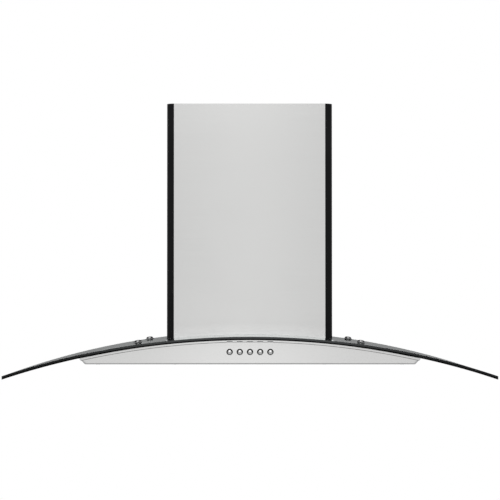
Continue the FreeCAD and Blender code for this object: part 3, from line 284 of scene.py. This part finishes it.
def arch_drop(tree):
    """Square of the distance from the middle plane, and the drop below the glass's upper face."""
    axes = object_axes(tree)
    across = math_node(tree, "MULTIPLY", axes["X"], axes["X"])
    lift = math_node(tree, "SUBTRACT", axes["Z"], arch_centre_z)
    square = math_node(tree, "ADD", across, math_node(tree, "MULTIPLY", lift, lift))
    return across, math_node(tree, "SUBTRACT", glass_arch_radius, math_node(tree, "SQRT", square))


def bump(tree, shader, height, strength, distance):
    """Small relief in the shading alone."""
    node = tree.nodes.new("ShaderNodeBump")
    node.inputs["Strength"].default_value = strength
    node.inputs["Distance"].default_value = distance
    tree.links.new(height, node.inputs["Height"])
    tree.links.new(node.outputs["Normal"], shader.inputs["Normal"])


def shade(colour, factor):
    """A colour made darker or lighter."""
    return tuple(channel * factor for channel in colour)


def brushed_metal(name, colour, grain, roughness=(0.14, 0.19), contrast=0.012):
    """Metal with fine scratches along the axes where grain is small."""
    material, tree, shader = new_material(name)
    shader.inputs["Metallic"].default_value = 1.0
    scratches = pattern(tree, 1.0, detail=4.0, stretch=grain, roughness=0.7)
    clouds = pattern(tree, 5.0, 2.0)
    tone = math_node(tree, "ADD", scratches, clouds)
    low = shade(colour, 1.0 - contrast)
    high = shade(colour, 1.0 + contrast)
    tree.links.new(
        blend_colours(tree, tone, low, high, 0.75, 1.0),
        shader.inputs["Base Color"],
    )
    tree.links.new(blend_values(tree, scratches, *roughness), shader.inputs["Roughness"])
    bump(tree, shader, scratches, scratch_strength, scratch_height)
    return material


def galvanised(name, colour):
    """Zinc plated sheet with large soft spangles."""
    material, tree, shader = new_material(name)
    shader.inputs["Metallic"].default_value = 1.0
    place = tree.nodes.new("ShaderNodeTexCoord")
    cells = tree.nodes.new("ShaderNodeTexVoronoi")
    cells.inputs["Scale"].default_value = 90.0
    tree.links.new(place.outputs["Object"], cells.inputs["Vector"])
    spread = tree.nodes.new("ShaderNodeSeparateColor")
    tree.links.new(cells.outputs["Color"], spread.inputs["Color"])
    cell_tone = spread.outputs["Red"]
    tree.links.new(
        blend_colours(tree, cell_tone, shade(colour, 0.86), shade(colour, 1.1), 0.0, 1.0),
        shader.inputs["Base Color"],
    )
    tree.links.new(blend_values(tree, cell_tone, 0.36, 0.56, 0.0, 1.0), shader.inputs["Roughness"])
    bump(tree, shader, pattern(tree, 240.0), 0.06, 0.05 * millimetre)
    return material


def polished_metal(name, colour, roughness=(0.05, 0.12)):
    """Metal without grain, with faint smears."""
    material, tree, shader = new_material(name)
    shader.inputs["Metallic"].default_value = 1.0
    smears = pattern(tree, 120.0, 3.0)
    tree.links.new(
        blend_colours(tree, smears, shade(colour, 0.95), shade(colour, 1.03)),
        shader.inputs["Base Color"],
    )
    tree.links.new(blend_values(tree, smears, *roughness), shader.inputs["Roughness"])
    return material


def button_place(tree):
    """Distances to the right of and below the middle of the nearest button."""
    axes = object_axes(tree)
    pitches = math_node(tree, "DIVIDE", axes["X"], button_pitch)
    nearest = math_node(tree, "MULTIPLY", math_node(tree, "ROUND", pitches), button_pitch)
    aside = math_node(tree, "SUBTRACT", axes["X"], nearest)
    return aside, math_node(tree, "SUBTRACT", button_height, axes["Z"])


def ring_metal_lit_below(name):
    """Dark plated ring with painted light: lighter along its lower edge."""
    material, tree, shader = new_material(name)
    shader.inputs["Metallic"].default_value = 1.0
    aside, under = button_place(tree)
    # Painted light: the dark plating turns light towards the ring's lower right, with a ragged edge
    # of noise
    lower = math_node(tree, "ADD", under, math_node(tree, "MULTIPLY", aside, ring_light_lean))
    smears = math_node(tree, "MULTIPLY", pattern(tree, 160.0, 3.0), ring_light_noise_reach)
    light_spread = math_node(tree, "ADD", lower, smears)
    painted_light = blend_values(tree, light_spread, 0.0, 1.0, ring_light_start, ring_light_end)
    tree.links.new(
        blend_colours(tree, painted_light, *ring_tints, 0.0, 1.0),
        shader.inputs["Base Color"],
    )
    tree.links.new(blend_values(tree, pattern(tree, 90.0), 0.2, 0.3), shader.inputs["Roughness"])
    return material


def line_length(tree, aside, under):
    """Length of the line to a point that lies so far aside and under."""
    across = math_node(tree, "MULTIPLY", aside, aside)
    along = math_node(tree, "MULTIPLY", under, under)
    return math_node(tree, "SQRT", math_node(tree, "ADD", across, along))


def button_highlight_steel(name):
    """Satin cap with a painted highlight above its middle and painted shade round its upper edge.
    """
    material, tree, shader = new_material(name)
    shader.inputs["Metallic"].default_value = 1.0
    aside, under = button_place(tree)
    # Painted highlight: a bright patch above the cap's middle, its rim ragged by noise
    away = line_length(tree, aside, math_node(tree, "ADD", under, button_highlight_rise))
    reach = line_length(tree, aside, under)
    # Painted shade: the cap is darkened round its upper edge, and not below its middle
    edge = blend_values(tree, reach, 1.0, button_edge_shade_tone, button_edge_start, button_edge_end)
    below = blend_values(tree, under, 0.0, 1.0, button_shade_clear_start, button_highlight_radius)
    button_rim_shade = math_node(tree, "MAXIMUM", edge, below)
    smears = math_node(tree, "MULTIPLY", pattern(tree, 300.0, 3.0), button_highlight_noise_reach)
    spread = math_node(tree, "ADD", away, smears)
    painted_highlight = blend_values(tree, spread, 1.0, 0.0, button_highlight_inner, button_highlight_outer)
    shade_mix = tree.nodes.new("ShaderNodeMixRGB")
    shade_mix.blend_type = "MULTIPLY"
    shade_mix.inputs["Fac"].default_value = 1.0
    satin = blend_colours(tree, painted_highlight, *button_tints, 0.0, 1.0)
    tree.links.new(satin, shade_mix.inputs["Color1"])
    tree.links.new(button_rim_shade, shade_mix.inputs["Color2"])
    tree.links.new(shade_mix.outputs["Color"], shader.inputs["Base Color"])
    tree.links.new(blend_values(tree, pattern(tree, 120.0), 0.08, 0.14), shader.inputs["Roughness"])
    return material


def tint_over(material, factor, colour):
    """Mixes another colour over a material's own where the factor is high."""
    tree = material.node_tree
    base = tree.nodes["Principled BSDF"].inputs["Base Color"]
    mix = tree.nodes.new("ShaderNodeMixRGB")
    mix.inputs["Color2"].default_value = (*colour, 1.0)
    tree.links.new(factor, mix.inputs["Fac"])
    tree.links.new(base.links[0].from_socket, mix.inputs["Color1"])
    tree.links.new(mix.outputs["Color"], base)


def painted_lip_shadow_steel(name, colour):
    """Brushed steel with a painted shadow: a dark line along the lower edge of the lip under the
    glass.
    """
    material = brushed_metal(name, colour, sideways_grain)
    tree = material.node_tree
    # Painted shadow: the steel is darkened in a thin band just above the lip's lower edge
    shadow_line = math_node(tree, "GREATER_THAN", arch_drop(tree)[1], lip_drop - lip_shadow_width)
    tint_over(material, shadow_line, shade(colour, lip_shadow_tone))
    return material


def foot_lit_steel(name, colour):
    """Steel brushed sideways, with painted light: a brighter band along its foot on the glass."""
    material = brushed_metal(name, colour, level_grain)
    tree = material.node_tree
    shader = tree.nodes["Principled BSDF"]
    steel = shader.inputs["Base Color"].links[0].from_socket
    # Painted light: the steel's colour is raised in a band that grows towards the foot
    light_band = blend_values(tree, arch_drop(tree)[1], 0.0, 1.0, -foot_light_height, 0.0)
    light_gain = math_node(tree, "MULTIPLY", math_node(tree, "MULTIPLY", light_band, light_band), foot_light_gain)
    lift = tree.nodes.new("ShaderNodeVectorMath")
    lift.operation = "SCALE"
    tree.links.new(steel, lift.inputs[0])
    tree.links.new(math_node(tree, "ADD", light_gain, 1.0), lift.inputs["Scale"])
    tree.links.new(lift.outputs["Vector"], shader.inputs["Base Color"])
    return material


def fold_shaded_steel(name, colour):
    """Brushed steel with painted shade: darker along the fold under its front and down its slanted
    corners.
    """
    material = brushed_metal(name, colour, sideways_grain)
    tree = material.node_tree
    axes = object_axes(tree)
    rise = math_node(tree, "SUBTRACT", axes["Z"], shell_floor_z)
    across = math_node(tree, "ABSOLUTE", axes["X"])
    out = math_node(tree, "SUBTRACT", across, shell_bottom_half)
    end = math_node(
        tree,
        "SUBTRACT",
        math_node(tree, "MULTIPLY", out, math.sin(shell_end_angle)),
        math_node(tree, "MULTIPLY", rise, math.cos(shell_end_angle)),
    )
    fold = blend_values(tree, rise, 1.0, 0.0, shell_fold_start, shell_fold)
    corner = blend_values(tree, end, 0.0, 1.0, -shell_corner, -shell_corner_end)
    front_end = shell_corner * 2 - shell_depth
    front = blend_values(tree, axes["Y"], 1.0, 0.0, -shell_depth, front_end)
    # Painted shade: the steel is darker along the lower fold and down the slanted front corners
    painted_fold_shade = math_node(tree, "MULTIPLY", math_node(tree, "MAXIMUM", fold, corner), front)
    tint_over(material, painted_fold_shade, shade(colour, fold_shade_tone))
    return material


def moulded(name, colour, roughness=(0.42, 0.58), specular=0.4, grain=900.0, strength=0.1):
    """Plastic, rubber or paint with a fine moulded texture."""
    material, tree, shader = new_material(name)
    shader.inputs["Specular IOR Level"].default_value = specular
    clouds = pattern(tree, 14.0, 4.0)
    tree.links.new(
        blend_colours(tree, clouds, shade(colour, 0.88), shade(colour, 1.12)),
        shader.inputs["Base Color"],
    )
    fine = pattern(tree, grain, 2.0)
    tree.links.new(blend_values(tree, fine, *roughness), shader.inputs["Roughness"])
    bump(tree, shader, fine, strength, 0.04 * millimetre)
    return material


def smoked_glass(name):
    """Grey glass that lets light straight through and mirrors a little."""
    material, tree, shader = new_material(name)
    tree.nodes.remove(shader)
    output = tree.nodes["Material Output"]
    through = tree.nodes.new("ShaderNodeBsdfTransparent")
    haze = pattern(tree, 3.0, 2.0)
    tree.links.new(
        blend_colours(tree, haze, *glass_tints),
        through.inputs["Color"],
    )
    mirror = tree.nodes.new("ShaderNodeBsdfGlossy")
    mirror.inputs["Color"].default_value = glass_mirror_colour
    smears = pattern(tree, 30.0, 3.0)
    tree.links.new(blend_values(tree, smears, 0.01, 0.04), mirror.inputs["Roughness"])
    facing = tree.nodes.new("ShaderNodeFresnel")
    facing.inputs["IOR"].default_value = glass_index
    limit = blend_values(
        tree,
        math_node(tree, "ABSOLUTE", object_axes(tree)["X"]),
        mirror_share_before_chimney,
        mirror_share_beside,
        fade_start,
        fade_start + fade_width,
    )
    share = math_node(tree, "MINIMUM", facing.outputs["Fac"], limit)
    mix = tree.nodes.new("ShaderNodeMixShader")
    tree.links.new(share, mix.inputs["Fac"])
    tree.links.new(through.outputs["BSDF"], mix.inputs[1])
    tree.links.new(mirror.outputs["BSDF"], mix.inputs[2])
    tree.links.new(mix.outputs["Shader"], output.inputs["Surface"])
    return material


def glass_edge(name):
    """Polished edge of the glass with painted shade: dark grey above, nearly black below and out at
    the tips.
    """
    material, tree, shader = new_material(name)
    shader.inputs["Specular IOR Level"].default_value = 0.0
    across, drop = arch_drop(tree)
    shade_start = glass_thickness * edge_shade_start_share
    shade_end = glass_thickness * edge_shade_end_share
    # Painted shade: the edge turns nearly black below its middle and out towards the tips
    upper = blend_values(tree, drop, 1.0, 0.0, shade_start, shade_end)
    inner = blend_values(tree, across, 1.0, edge_tip_shade_tone, edge_middle_square, edge_tip_square)
    tone = math_node(tree, "MULTIPLY", upper, inner)
    tree.links.new(
        blend_colours(tree, tone, *edge_tints, 0.0, 1.0),
        shader.inputs["Base Color"],
    )
    smears = pattern(tree, 60.0, 3.0)
    tree.links.new(blend_values(tree, smears, 0.1, 0.25), shader.inputs["Roughness"])
    return material


def frosted_lens(name):
    """Pressed lamp glass with a fine bubbled back."""
    material, tree, shader = new_material(name)
    shader.inputs["Alpha"].default_value = 0.8
    shader.inputs["Specular IOR Level"].default_value = 0.5
    beads = pattern(tree, 500.0, 1.0)
    tree.links.new(
        blend_colours(tree, beads, (0.72, 0.73, 0.71), (0.86, 0.87, 0.85)),
        shader.inputs["Base Color"],
    )
    tree.links.new(blend_values(tree, beads, 0.18, 0.35), shader.inputs["Roughness"])
    bump(tree, shader, beads, 0.25, 0.2 * millimetre)
    return material


steel_colour = (0.615, 0.615, 0.61)
chimney_colour = (0.565, 0.565, 0.56)
slot_materials = {
    "stainless": brushed_metal("brushed_stainless", steel_colour, sideways_grain),
    # Painted reflection: the chimney's corner trims are near-black, standing for the dark
    # reflection in its corners
    "corner_black": moulded("painted_reflection_black", (0.009, 0.009, 0.0092), (0.3, 0.42), 0.02),
    "canopy_glass": smoked_glass("smoked_glass"),
    "lamp_glass": frosted_lens("lamp_glass"),
    "seal_rubber": moulded("seal_rubber", (0.012, 0.012, 0.012), (0.6, 0.8), 0.2),
    "clear_rubber": moulded("washer_rubber", (0.3, 0.3, 0.3), (0.4, 0.6), 0.25),
    "chrome": polished_metal("chrome", (0.05, 0.05, 0.05), (0.24, 0.32)),
    "button_metal": button_highlight_steel("button_metal"),
    # Painted reflection: the dark dashes in the lip above the buttons stand for the buttons
    # mirrored in the groove
    "indicator_black": moulded("indicator_black", (0.26, 0.26, 0.26), (0.2, 0.3), 0.4),
    "zinc_sheet": galvanised("zinc_sheet", (0.52, 0.53, 0.54)),
    "filter_steel": brushed_metal(
        "filter_steel", (0.56, 0.56, 0.55), (fine_grain, long_grain, fine_grain)
    ),
    "screw_steel": polished_metal("screw_steel", (0.55, 0.55, 0.54), (0.18, 0.32)),
    "shaft_steel": brushed_metal(
        "shaft_steel", (0.5, 0.5, 0.5), (fine_grain, fine_grain, fine_grain), (0.2, 0.35)
    ),
    "black_plastic": moulded("black_plastic", (0.02, 0.02, 0.02), (0.45, 0.6), 0.35),
    "grey_plastic": moulded("grey_plastic", (0.28, 0.29, 0.3), (0.45, 0.6), 0.35),
    "white_plastic": moulded("white_plastic", (0.7, 0.7, 0.67), (0.3, 0.42), 0.45),
    "motor_metal": brushed_metal(
        "motor_metal", (0.5, 0.5, 0.5), (300.0, 300.0, 300.0), (0.42, 0.56)
    ),
    "flap_aluminium": brushed_metal("flap_aluminium", (0.6, 0.6, 0.6), (900.0, 8.0, 900.0)),
}
level_grain_steel = brushed_metal("level_brushed_stainless", chimney_colour, level_grain)
painted_foot_light_steel = foot_lit_steel("foot_lit_stainless", chimney_colour)
lip_shadow_steel = painted_lip_shadow_steel("lip_shadow_stainless", steel_colour)
painted_fold_shade_steel = fold_shaded_steel("fold_shaded_stainless", steel_colour)
edge_material = glass_edge("polished_glass_edge")
ring_chrome = ring_metal_lit_below("ring_chrome")
bright_zinc = polished_metal("bright_zinc", (0.86, 0.86, 0.86), (0.18, 0.3))
cap_metal = polished_metal("cap_metal", (0.22, 0.22, 0.22), (0.2, 0.3))
node_materials = {
    "lower_cover_front": painted_foot_light_steel,
    "lower_cover_side_left": painted_foot_light_steel,
    "lower_cover_side_right": painted_foot_light_steel,
    "upper_cover": level_grain_steel,
    "canopy_top_plate": lip_shadow_steel,
    "canopy_shell": painted_fold_shade_steel,
    "frame_screws": bright_zinc,
}


def finish_cad_nodes():
    """Gives every CAD node its own material, or else that of its slot."""
    for part in frame["record"]["subparts"]:
        material = node_materials.get(part["node"], slot_materials[part["material_slot"]])
        for place in frame["nodes"][part["node"]].material_slots:
            place.material = material


def link_object(name, data):
    """A new object in the scene."""
    thing = bpy.data.objects.new(name, data)
    bpy.context.scene.collection.objects.link(thing)
    return thing


def add_object(name, mesh, materials, body, nodes):
    """Links a mesh as a piece that rides on a body and stands for CAD nodes."""
    piece = link_object(name, mesh)
    for material in materials:
        mesh.materials.append(material)
    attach(piece, body)
    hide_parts(*nodes)
    return piece


def soften(piece, width, segments=3, angle=math.radians(35.0), material=-1):
    """Rounds the sharp edges and smooths the shading."""
    for polygon in piece.data.polygons:
        polygon.use_smooth = True
    bevel = piece.modifiers.new("rounded_edges", "BEVEL")
    bevel.width = width
    bevel.segments = segments
    bevel.limit_method = "ANGLE"
    bevel.angle_limit = angle
    bevel.material = material
    bevel.harden_normals = True


def arch_z(x, drop=0.0):
    """Height of the arch at x, so far below the glass's upper face."""
    return arch_centre_z + math.sqrt((glass_arch_radius - drop) ** 2 - x**2)


def glass_depths(x):
    """Depths of the glass's outline at x, from the wall outwards."""
    side = abs(x)
    front_radius = (glass_half**2 + glass_bow**2) / (2 * glass_bow)
    front_centre = glass_front - front_radius
    corner_x = glass_half - glass_front_corner
    corner_depth = front_centre + math.sqrt((front_radius - glass_front_corner) ** 2 - corner_x**2)
    turn = math.atan2(corner_x, corner_depth - front_centre)
    if side <= front_radius * math.sin(turn):
        front = front_centre + math.sqrt(front_radius**2 - side**2)
    else:
        front = corner_depth + math.sqrt(max(0.0, glass_front_corner**2 - (side - corner_x) ** 2))
    if side < glass_notch_half:
        rear_corner_x = glass_notch_half - glass_notch_corner
        rear = glass_notch_front
        if side > rear_corner_x:
            rise = math.sqrt(glass_notch_corner**2 - (side - rear_corner_x) ** 2)
            rear += rise - glass_notch_corner
    else:
        rear_corner_x = glass_half - glass_rear_corner
        rear = glass_rear
        if side > rear_corner_x:
            rise = math.sqrt(max(0.0, glass_rear_corner**2 - (side - rear_corner_x) ** 2))
            rear += glass_rear_corner - rise
    return rear, front


def glass_stations():
    """Places across the glass, closer together where its corners are round."""
    shares = [
        1 - math.sin(math.pi / 2 * n / glass_corner_station_count)
        for n in range(glass_corner_station_count + 1)
    ]
    half = [glass_notch_half - glass_notch_corner * share for share in shares[:-1]]
    half += [glass_half - glass_front_corner * share for share in shares]
    half += [
        (glass_half - glass_front_corner) * n / glass_station_count
        for n in range(1, glass_station_count)
    ]
    half = sorted(x for x in half if abs(x - glass_notch_half) > millimetre)
    return [-x for x in reversed(half)] + [0.0] + half


def glass_pane():
    """The arched pane with its notch, its round corners and its ground edge."""
    mesh = bmesh.new()
    inner_notch = glass_notch_front - glass_notch_corner
    columns = []
    for x in glass_stations():
        columns.append((x, glass_depths(x)))
    notch_front = glass_depths(glass_notch_half)[1]
    for side in (-1, 1):
        columns.append((side * glass_notch_half, (glass_rear, inner_notch, notch_front)))
    columns.sort(key=lambda column: column[0])
    layers = []
    for drop in (0.0, glass_thickness):
        layers.append(
            [[mesh.verts.new((x, -d, arch_z(x, drop))) for d in depths] for x, depths in columns]
        )
    for number in range(len(columns) - 1):
        middle = abs(columns[number][0] + columns[number + 1][0]) / 2 < glass_notch_half
        for flip, rows in enumerate(layers):
            left = rows[number]
            right = rows[number + 1]
            left = left[1:] if middle and len(left) == 3 else left
            right = right[1:] if middle and len(right) == 3 else right
            ring = left + right[::-1]
            mesh.faces.new(ring[::-1] if flip else ring)
    pairs = dict(zip((v for row in layers[0] for v in row), (v for row in layers[1] for v in row)))
    rim = [edge for edge in mesh.edges if len(edge.link_faces) == 1 and edge.verts[0] in pairs]
    for edge in rim:
        a, b = edge.verts
        face = mesh.faces.new((a, b, pairs[b], pairs[a]))
        face.material_index = 1
    bmesh.ops.recalc_face_normals(mesh, faces=mesh.faces)
    data = bpy.data.meshes.new("glass_pane")
    mesh.to_mesh(data)
    mesh.free()
    materials = (slot_materials["canopy_glass"], edge_material)
    piece = add_object("glass_pane", data, materials, "hood", ["glass_canopy"])
    soften(piece, glass_edge_round, segments=5, angle=math.radians(50.0), material=1)


def mean_place(points):
    """Rounded mean of some points, by which groups of points are put in order."""
    return tuple(round(sum(point[i] for point in points) / len(points), 4) for i in range(3))


def islands(node):
    """The points of each separate solid of a CAD node, from left to right."""
    mesh = bmesh.new()
    mesh.from_mesh(frame["nodes"][node].data)
    bmesh.ops.remove_doubles(mesh, verts=mesh.verts, dist=weld_distance)
    left = set(mesh.verts)
    found = []
    while left:
        stack = [left.pop()]
        points = []
        while stack:
            vertex = stack.pop()
            points.append(vertex.co.copy())
            for edge in vertex.link_edges:
                other = edge.other_vert(vertex)
                if other in left:
                    left.remove(other)
                    stack.append(other)
        found.append(points)
    mesh.free()
    return sorted(found, key=mean_place)


def lathe(profile, centre, axis, steps=48):
    """Mesh of a profile of (radius, height) points, turned about an axis through centre."""
    mesh = bmesh.new()
    turn = axis.to_track_quat("Z", "Y").to_matrix()
    rings = []
    for radius, height in profile:
        if radius == 0:
            rings.append([mesh.verts.new(centre + turn @ Vector((0, 0, height)))])
            continue
        ring = []
        for step in range(steps):
            angle = 2 * math.pi * step / steps
            spot = Vector((radius * math.cos(angle), radius * math.sin(angle), height))
            ring.append(mesh.verts.new(centre + turn @ spot))
        rings.append(ring)
    for low, high in zip(rings, rings[1:]):
        for step in range(steps):
            after = (step + 1) % steps
            if len(low) == 1:
                mesh.faces.new((low[0], high[after], high[step]))
            elif len(high) == 1:
                mesh.faces.new((low[step], low[after], high[0]))
            else:
                mesh.faces.new((low[step], low[after], high[after], high[step]))
    if len(rings[0]) > 1 and len(rings[-1]) > 1:
        for step in range(steps):
            after = (step + 1) % steps
            mesh.faces.new((rings[-1][step], rings[-1][after], rings[0][after], rings[0][step]))
    bmesh.ops.recalc_face_normals(mesh, faces=mesh.faces)
    return mesh


def merged(name, parts):
    """One mesh out of several, which are freed."""
    data = bpy.data.meshes.new(name)
    whole = bmesh.new()
    for part in parts:
        step = bpy.data.meshes.new("step")
        part.to_mesh(step)
        part.free()
        whole.from_mesh(step)
        bpy.data.meshes.remove(step)
    whole.to_mesh(data)
    whole.free()
    return data


def dome(radius, rise, base, count=8):
    """Profile of a shallow dome, from its rim at base to its top."""
    ball = (radius**2 + rise**2) / (2 * rise)
    reach = math.asin(radius / ball)
    points = []
    for number in range(count + 1):
        turn = reach * (1 - number / count)
        across = ball * math.sin(turn) if number < count else 0
        points.append((across, base + rise - ball + ball * math.cos(turn)))
    return points


def radial(point):
    """Direction square out of the arch at a point."""
    return Vector((point.x, 0, point.z - arch_centre_z)).normalized()


def glass_screw_caps():
    """Low domed caps whose left and right flanks are black rubber, a painted dark reflection."""
    parts = []
    for points in islands("glass_screws"):
        top = max(points, key=lambda p: math.hypot(p.x, p.z - arch_centre_z))
        axis = radial(top)
        base = top - axis * cap_height
        profile = [
            (0, -cap_shank_length),
            (cap_shank_radius, -cap_shank_length),
            (cap_shank_radius, 0),
            (cap_radius, 0),
            (cap_top_radius, cap_wall),
        ]
        profile += dome(cap_top_radius * cap_dome_share, cap_rise, cap_wall)
        cap = lathe(profile, base, axis)
        for face in cap.faces:
            spot = face.calc_center_median() - base
            # Painted reflection: faces out to the left and right low on the cap take the black
            # rubber
            if abs(spot.x) > cap_dark_side_start and 0 < spot.dot(axis) < cap_dark_side_height:
                face.material_index = 1
        parts.append(cap)
    data = merged("glass_screw_caps", parts)
    materials = (cap_metal, slot_materials["seal_rubber"])
    piece = add_object("glass_screw_caps", data, materials, "hood", ["glass_screws"])
    soften(piece, cap_edge_round)


def button_rings():
    """Countersunk rings: a narrow rim outside and a slope that falls to the button."""
    parts = []
    face = -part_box("canopy_shell")[0].y
    for points in islands("button_bezels"):
        x = (min(p.x for p in points) + max(p.x for p in points)) / 2
        z = (min(p.z for p in points) + max(p.z for p in points)) / 2
        base = Vector((x, -face, z))
        profile = [
            (ring_throat_radius, -ring_shank_length),
            (ring_shank_radius, -ring_shank_length),
            (ring_shank_radius, 0),
            (ring_radius, 0),
            (ring_radius, ring_rise * ring_side_share),
            (ring_rim_radius, ring_rise),
            (ring_throat_radius, ring_rise * ring_throat_share),
        ]
        parts.append(lathe(profile, base, outward))
    data = merged("button_rings", parts)
    piece = add_object("button_rings", data, [ring_chrome], "hood", ["button_bezels"])
    soften(piece, ring_edge_round, segments=2)


def push_button(node):
    """Domed cap with a small dimple under its middle, on its stem."""
    low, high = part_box(node)
    centre = Vector(((low.x + high.x) / 2, low.y, (low.z + high.z) / 2))
    cap_back = -button_cap_length
    profile = [
        (0, cap_back - button_stem_length),
        (button_stem_radius, cap_back - button_stem_length),
        (button_stem_radius, cap_back),
        (button_radius, cap_back),
        (button_radius, -button_dome_rise - button_shoulder),
    ]
    middle_rise = button_flat_radius * math.tan(button_slope / 2)
    edge_radius = button_radius - button_rim_inset
    slope_drop = (edge_radius - button_flat_radius) * math.tan(button_slope)
    profile += [(edge_radius, -middle_rise - slope_drop)]
    profile += dome(button_flat_radius, middle_rise, -middle_rise, count=6)
    body = lathe(profile, centre, outward)
    dimple_z = centre.z - button_dimple_fall
    for vertex in body.verts:
        away = math.hypot(vertex.co.x - centre.x, vertex.co.z - dimple_z)
        if away < button_dimple_radius and vertex.co.y < low.y + button_dome_rise:
            share = 1 - away / button_dimple_radius
            vertex.co.y += button_dimple_depth * share
    data = merged(node + "_cap", [body])
    metal = slot_materials["button_metal"]
    piece = add_object(node + "_cap", data, [metal], node, [node])
    soften(piece, button_edge_round, segments=2)


def setup_camera():
    """The camera at the photograph's viewing angle."""
    data = bpy.data.cameras.new("photo_camera")
    camera = link_object("photo_camera", data)
    data.lens = camera_lens
    data.sensor_width = camera_sensor
    data.shift_x = camera_shift_x
    data.shift_y = camera_shift_y
    data.clip_start = camera_near
    data.clip_end = camera_far
    camera.location = (camera_x, -camera_depth, camera_height)
    camera.rotation_euler = (math.pi / 2 + camera_tilt, 0, 0)
    bpy.context.scene.camera = camera


def seen_ray(tree):
    """1 for camera, glossy and transmission rays, otherwise 0."""
    path = tree.nodes.new("ShaderNodeLightPath")
    first = math_node(tree, "MAXIMUM", path.outputs["Is Camera Ray"], path.outputs["Is Glossy Ray"])
    return math_node(tree, "MAXIMUM", first, path.outputs["Is Transmission Ray"])


def setup_world():
    """Soft even light, which camera, glossy and transmission rays see as white."""
    world = bpy.data.worlds.new("studio")
    bpy.context.scene.world = world
    world.use_nodes = True
    tree = world.node_tree
    soft = tree.nodes["Background"]
    soft.inputs["Color"].default_value = world_colour
    soft.inputs["Strength"].default_value = world_strength
    white = tree.nodes.new("ShaderNodeBackground")
    white.inputs["Color"].default_value = plain_white
    white.inputs["Strength"].default_value = 1.0
    mix = tree.nodes.new("ShaderNodeMixShader")
    tree.links.new(seen_ray(tree), mix.inputs["Fac"])
    tree.links.new(soft.outputs["Background"], mix.inputs[1])
    tree.links.new(white.outputs["Background"], mix.inputs[2])
    tree.links.new(mix.outputs["Shader"], tree.nodes["World Output"].inputs["Surface"])


def setup_lamp(name, place, target, size, energy):
    """A soft rectangular lamp that points at its target."""
    data = bpy.data.lights.new(name, "AREA")
    data.shape = "RECTANGLE"
    data.size, data.size_y = size
    data.energy = energy
    lamp = link_object(name, data)
    lamp.location = place
    lamp.rotation_euler = (Vector(target) - Vector(place)).to_track_quat("-Z", "Y").to_euler()


def setup_floor():
    """Pale round floor that keeps the shadow and fades into white."""
    mesh = bmesh.new()
    rings = [[mesh.verts.new((0, 0, floor_height))]]
    turns = [2 * math.pi * side / floor_side_count for side in range(floor_side_count)]
    for ring in range(1, floor_ring_count + 1):
        radius = floor_radius * ring / floor_ring_count
        spots = [(radius * math.cos(turn), radius * math.sin(turn), floor_height) for turn in turns]
        rings.append([mesh.verts.new(spot) for spot in spots])
    for side in range(floor_side_count):
        after = (side + 1) % floor_side_count
        mesh.faces.new((rings[0][0], rings[1][side], rings[1][after]))
        for low, high in zip(rings[1:], rings[2:]):
            mesh.faces.new((low[side], high[side], high[after], low[after]))
    data = bpy.data.meshes.new("floor")
    mesh.to_mesh(data)
    mesh.free()
    floor = link_object("floor", data)
    material, tree, shader = new_material("pale_floor")
    grain = pattern(tree, 6.0, 3.0)
    tree.links.new(
        blend_colours(tree, grain, *floor_tints),
        shader.inputs["Base Color"],
    )
    shader.inputs["Roughness"].default_value = 0.9
    shader.inputs["Specular IOR Level"].default_value = 0.1
    place = tree.nodes.new("ShaderNodeTexCoord")
    length = tree.nodes.new("ShaderNodeVectorMath")
    length.operation = "LENGTH"
    flat = tree.nodes.new("ShaderNodeMapping")
    flat.inputs["Scale"].default_value = (1.0, 1.0, 0.0)
    tree.links.new(place.outputs["Object"], flat.inputs["Vector"])
    tree.links.new(flat.outputs["Vector"], length.inputs[0])
    fade_start_radius = floor_radius * floor_fade_start_share
    fade = blend_values(tree, length.outputs["Value"], 0.0, 1.0, fade_start_radius, floor_radius)
    amount = math_node(tree, "MULTIPLY", fade, seen_ray(tree))
    white = tree.nodes.new("ShaderNodeEmission")
    white.inputs["Color"].default_value = plain_white
    white.inputs["Strength"].default_value = 1.0
    mix = tree.nodes.new("ShaderNodeMixShader")
    tree.links.new(amount, mix.inputs["Fac"])
    tree.links.new(shader.outputs["BSDF"], mix.inputs[1])
    tree.links.new(white.outputs["Emission"], mix.inputs[2])
    tree.links.new(mix.outputs["Shader"], tree.nodes["Material Output"].inputs["Surface"])
    data.materials.append(material)


setup_camera()
setup_world()
for lamp_values in lamps:
    setup_lamp(*lamp_values)
setup_floor()
finish_cad_nodes()
glass_pane()
glass_screw_caps()
button_rings()
for button in ("power", "low_speed", "medium_speed", "high_speed", "light"):
    push_button(button + "_button")

bpy.context.scene.view_settings.view_transform = "Standard"
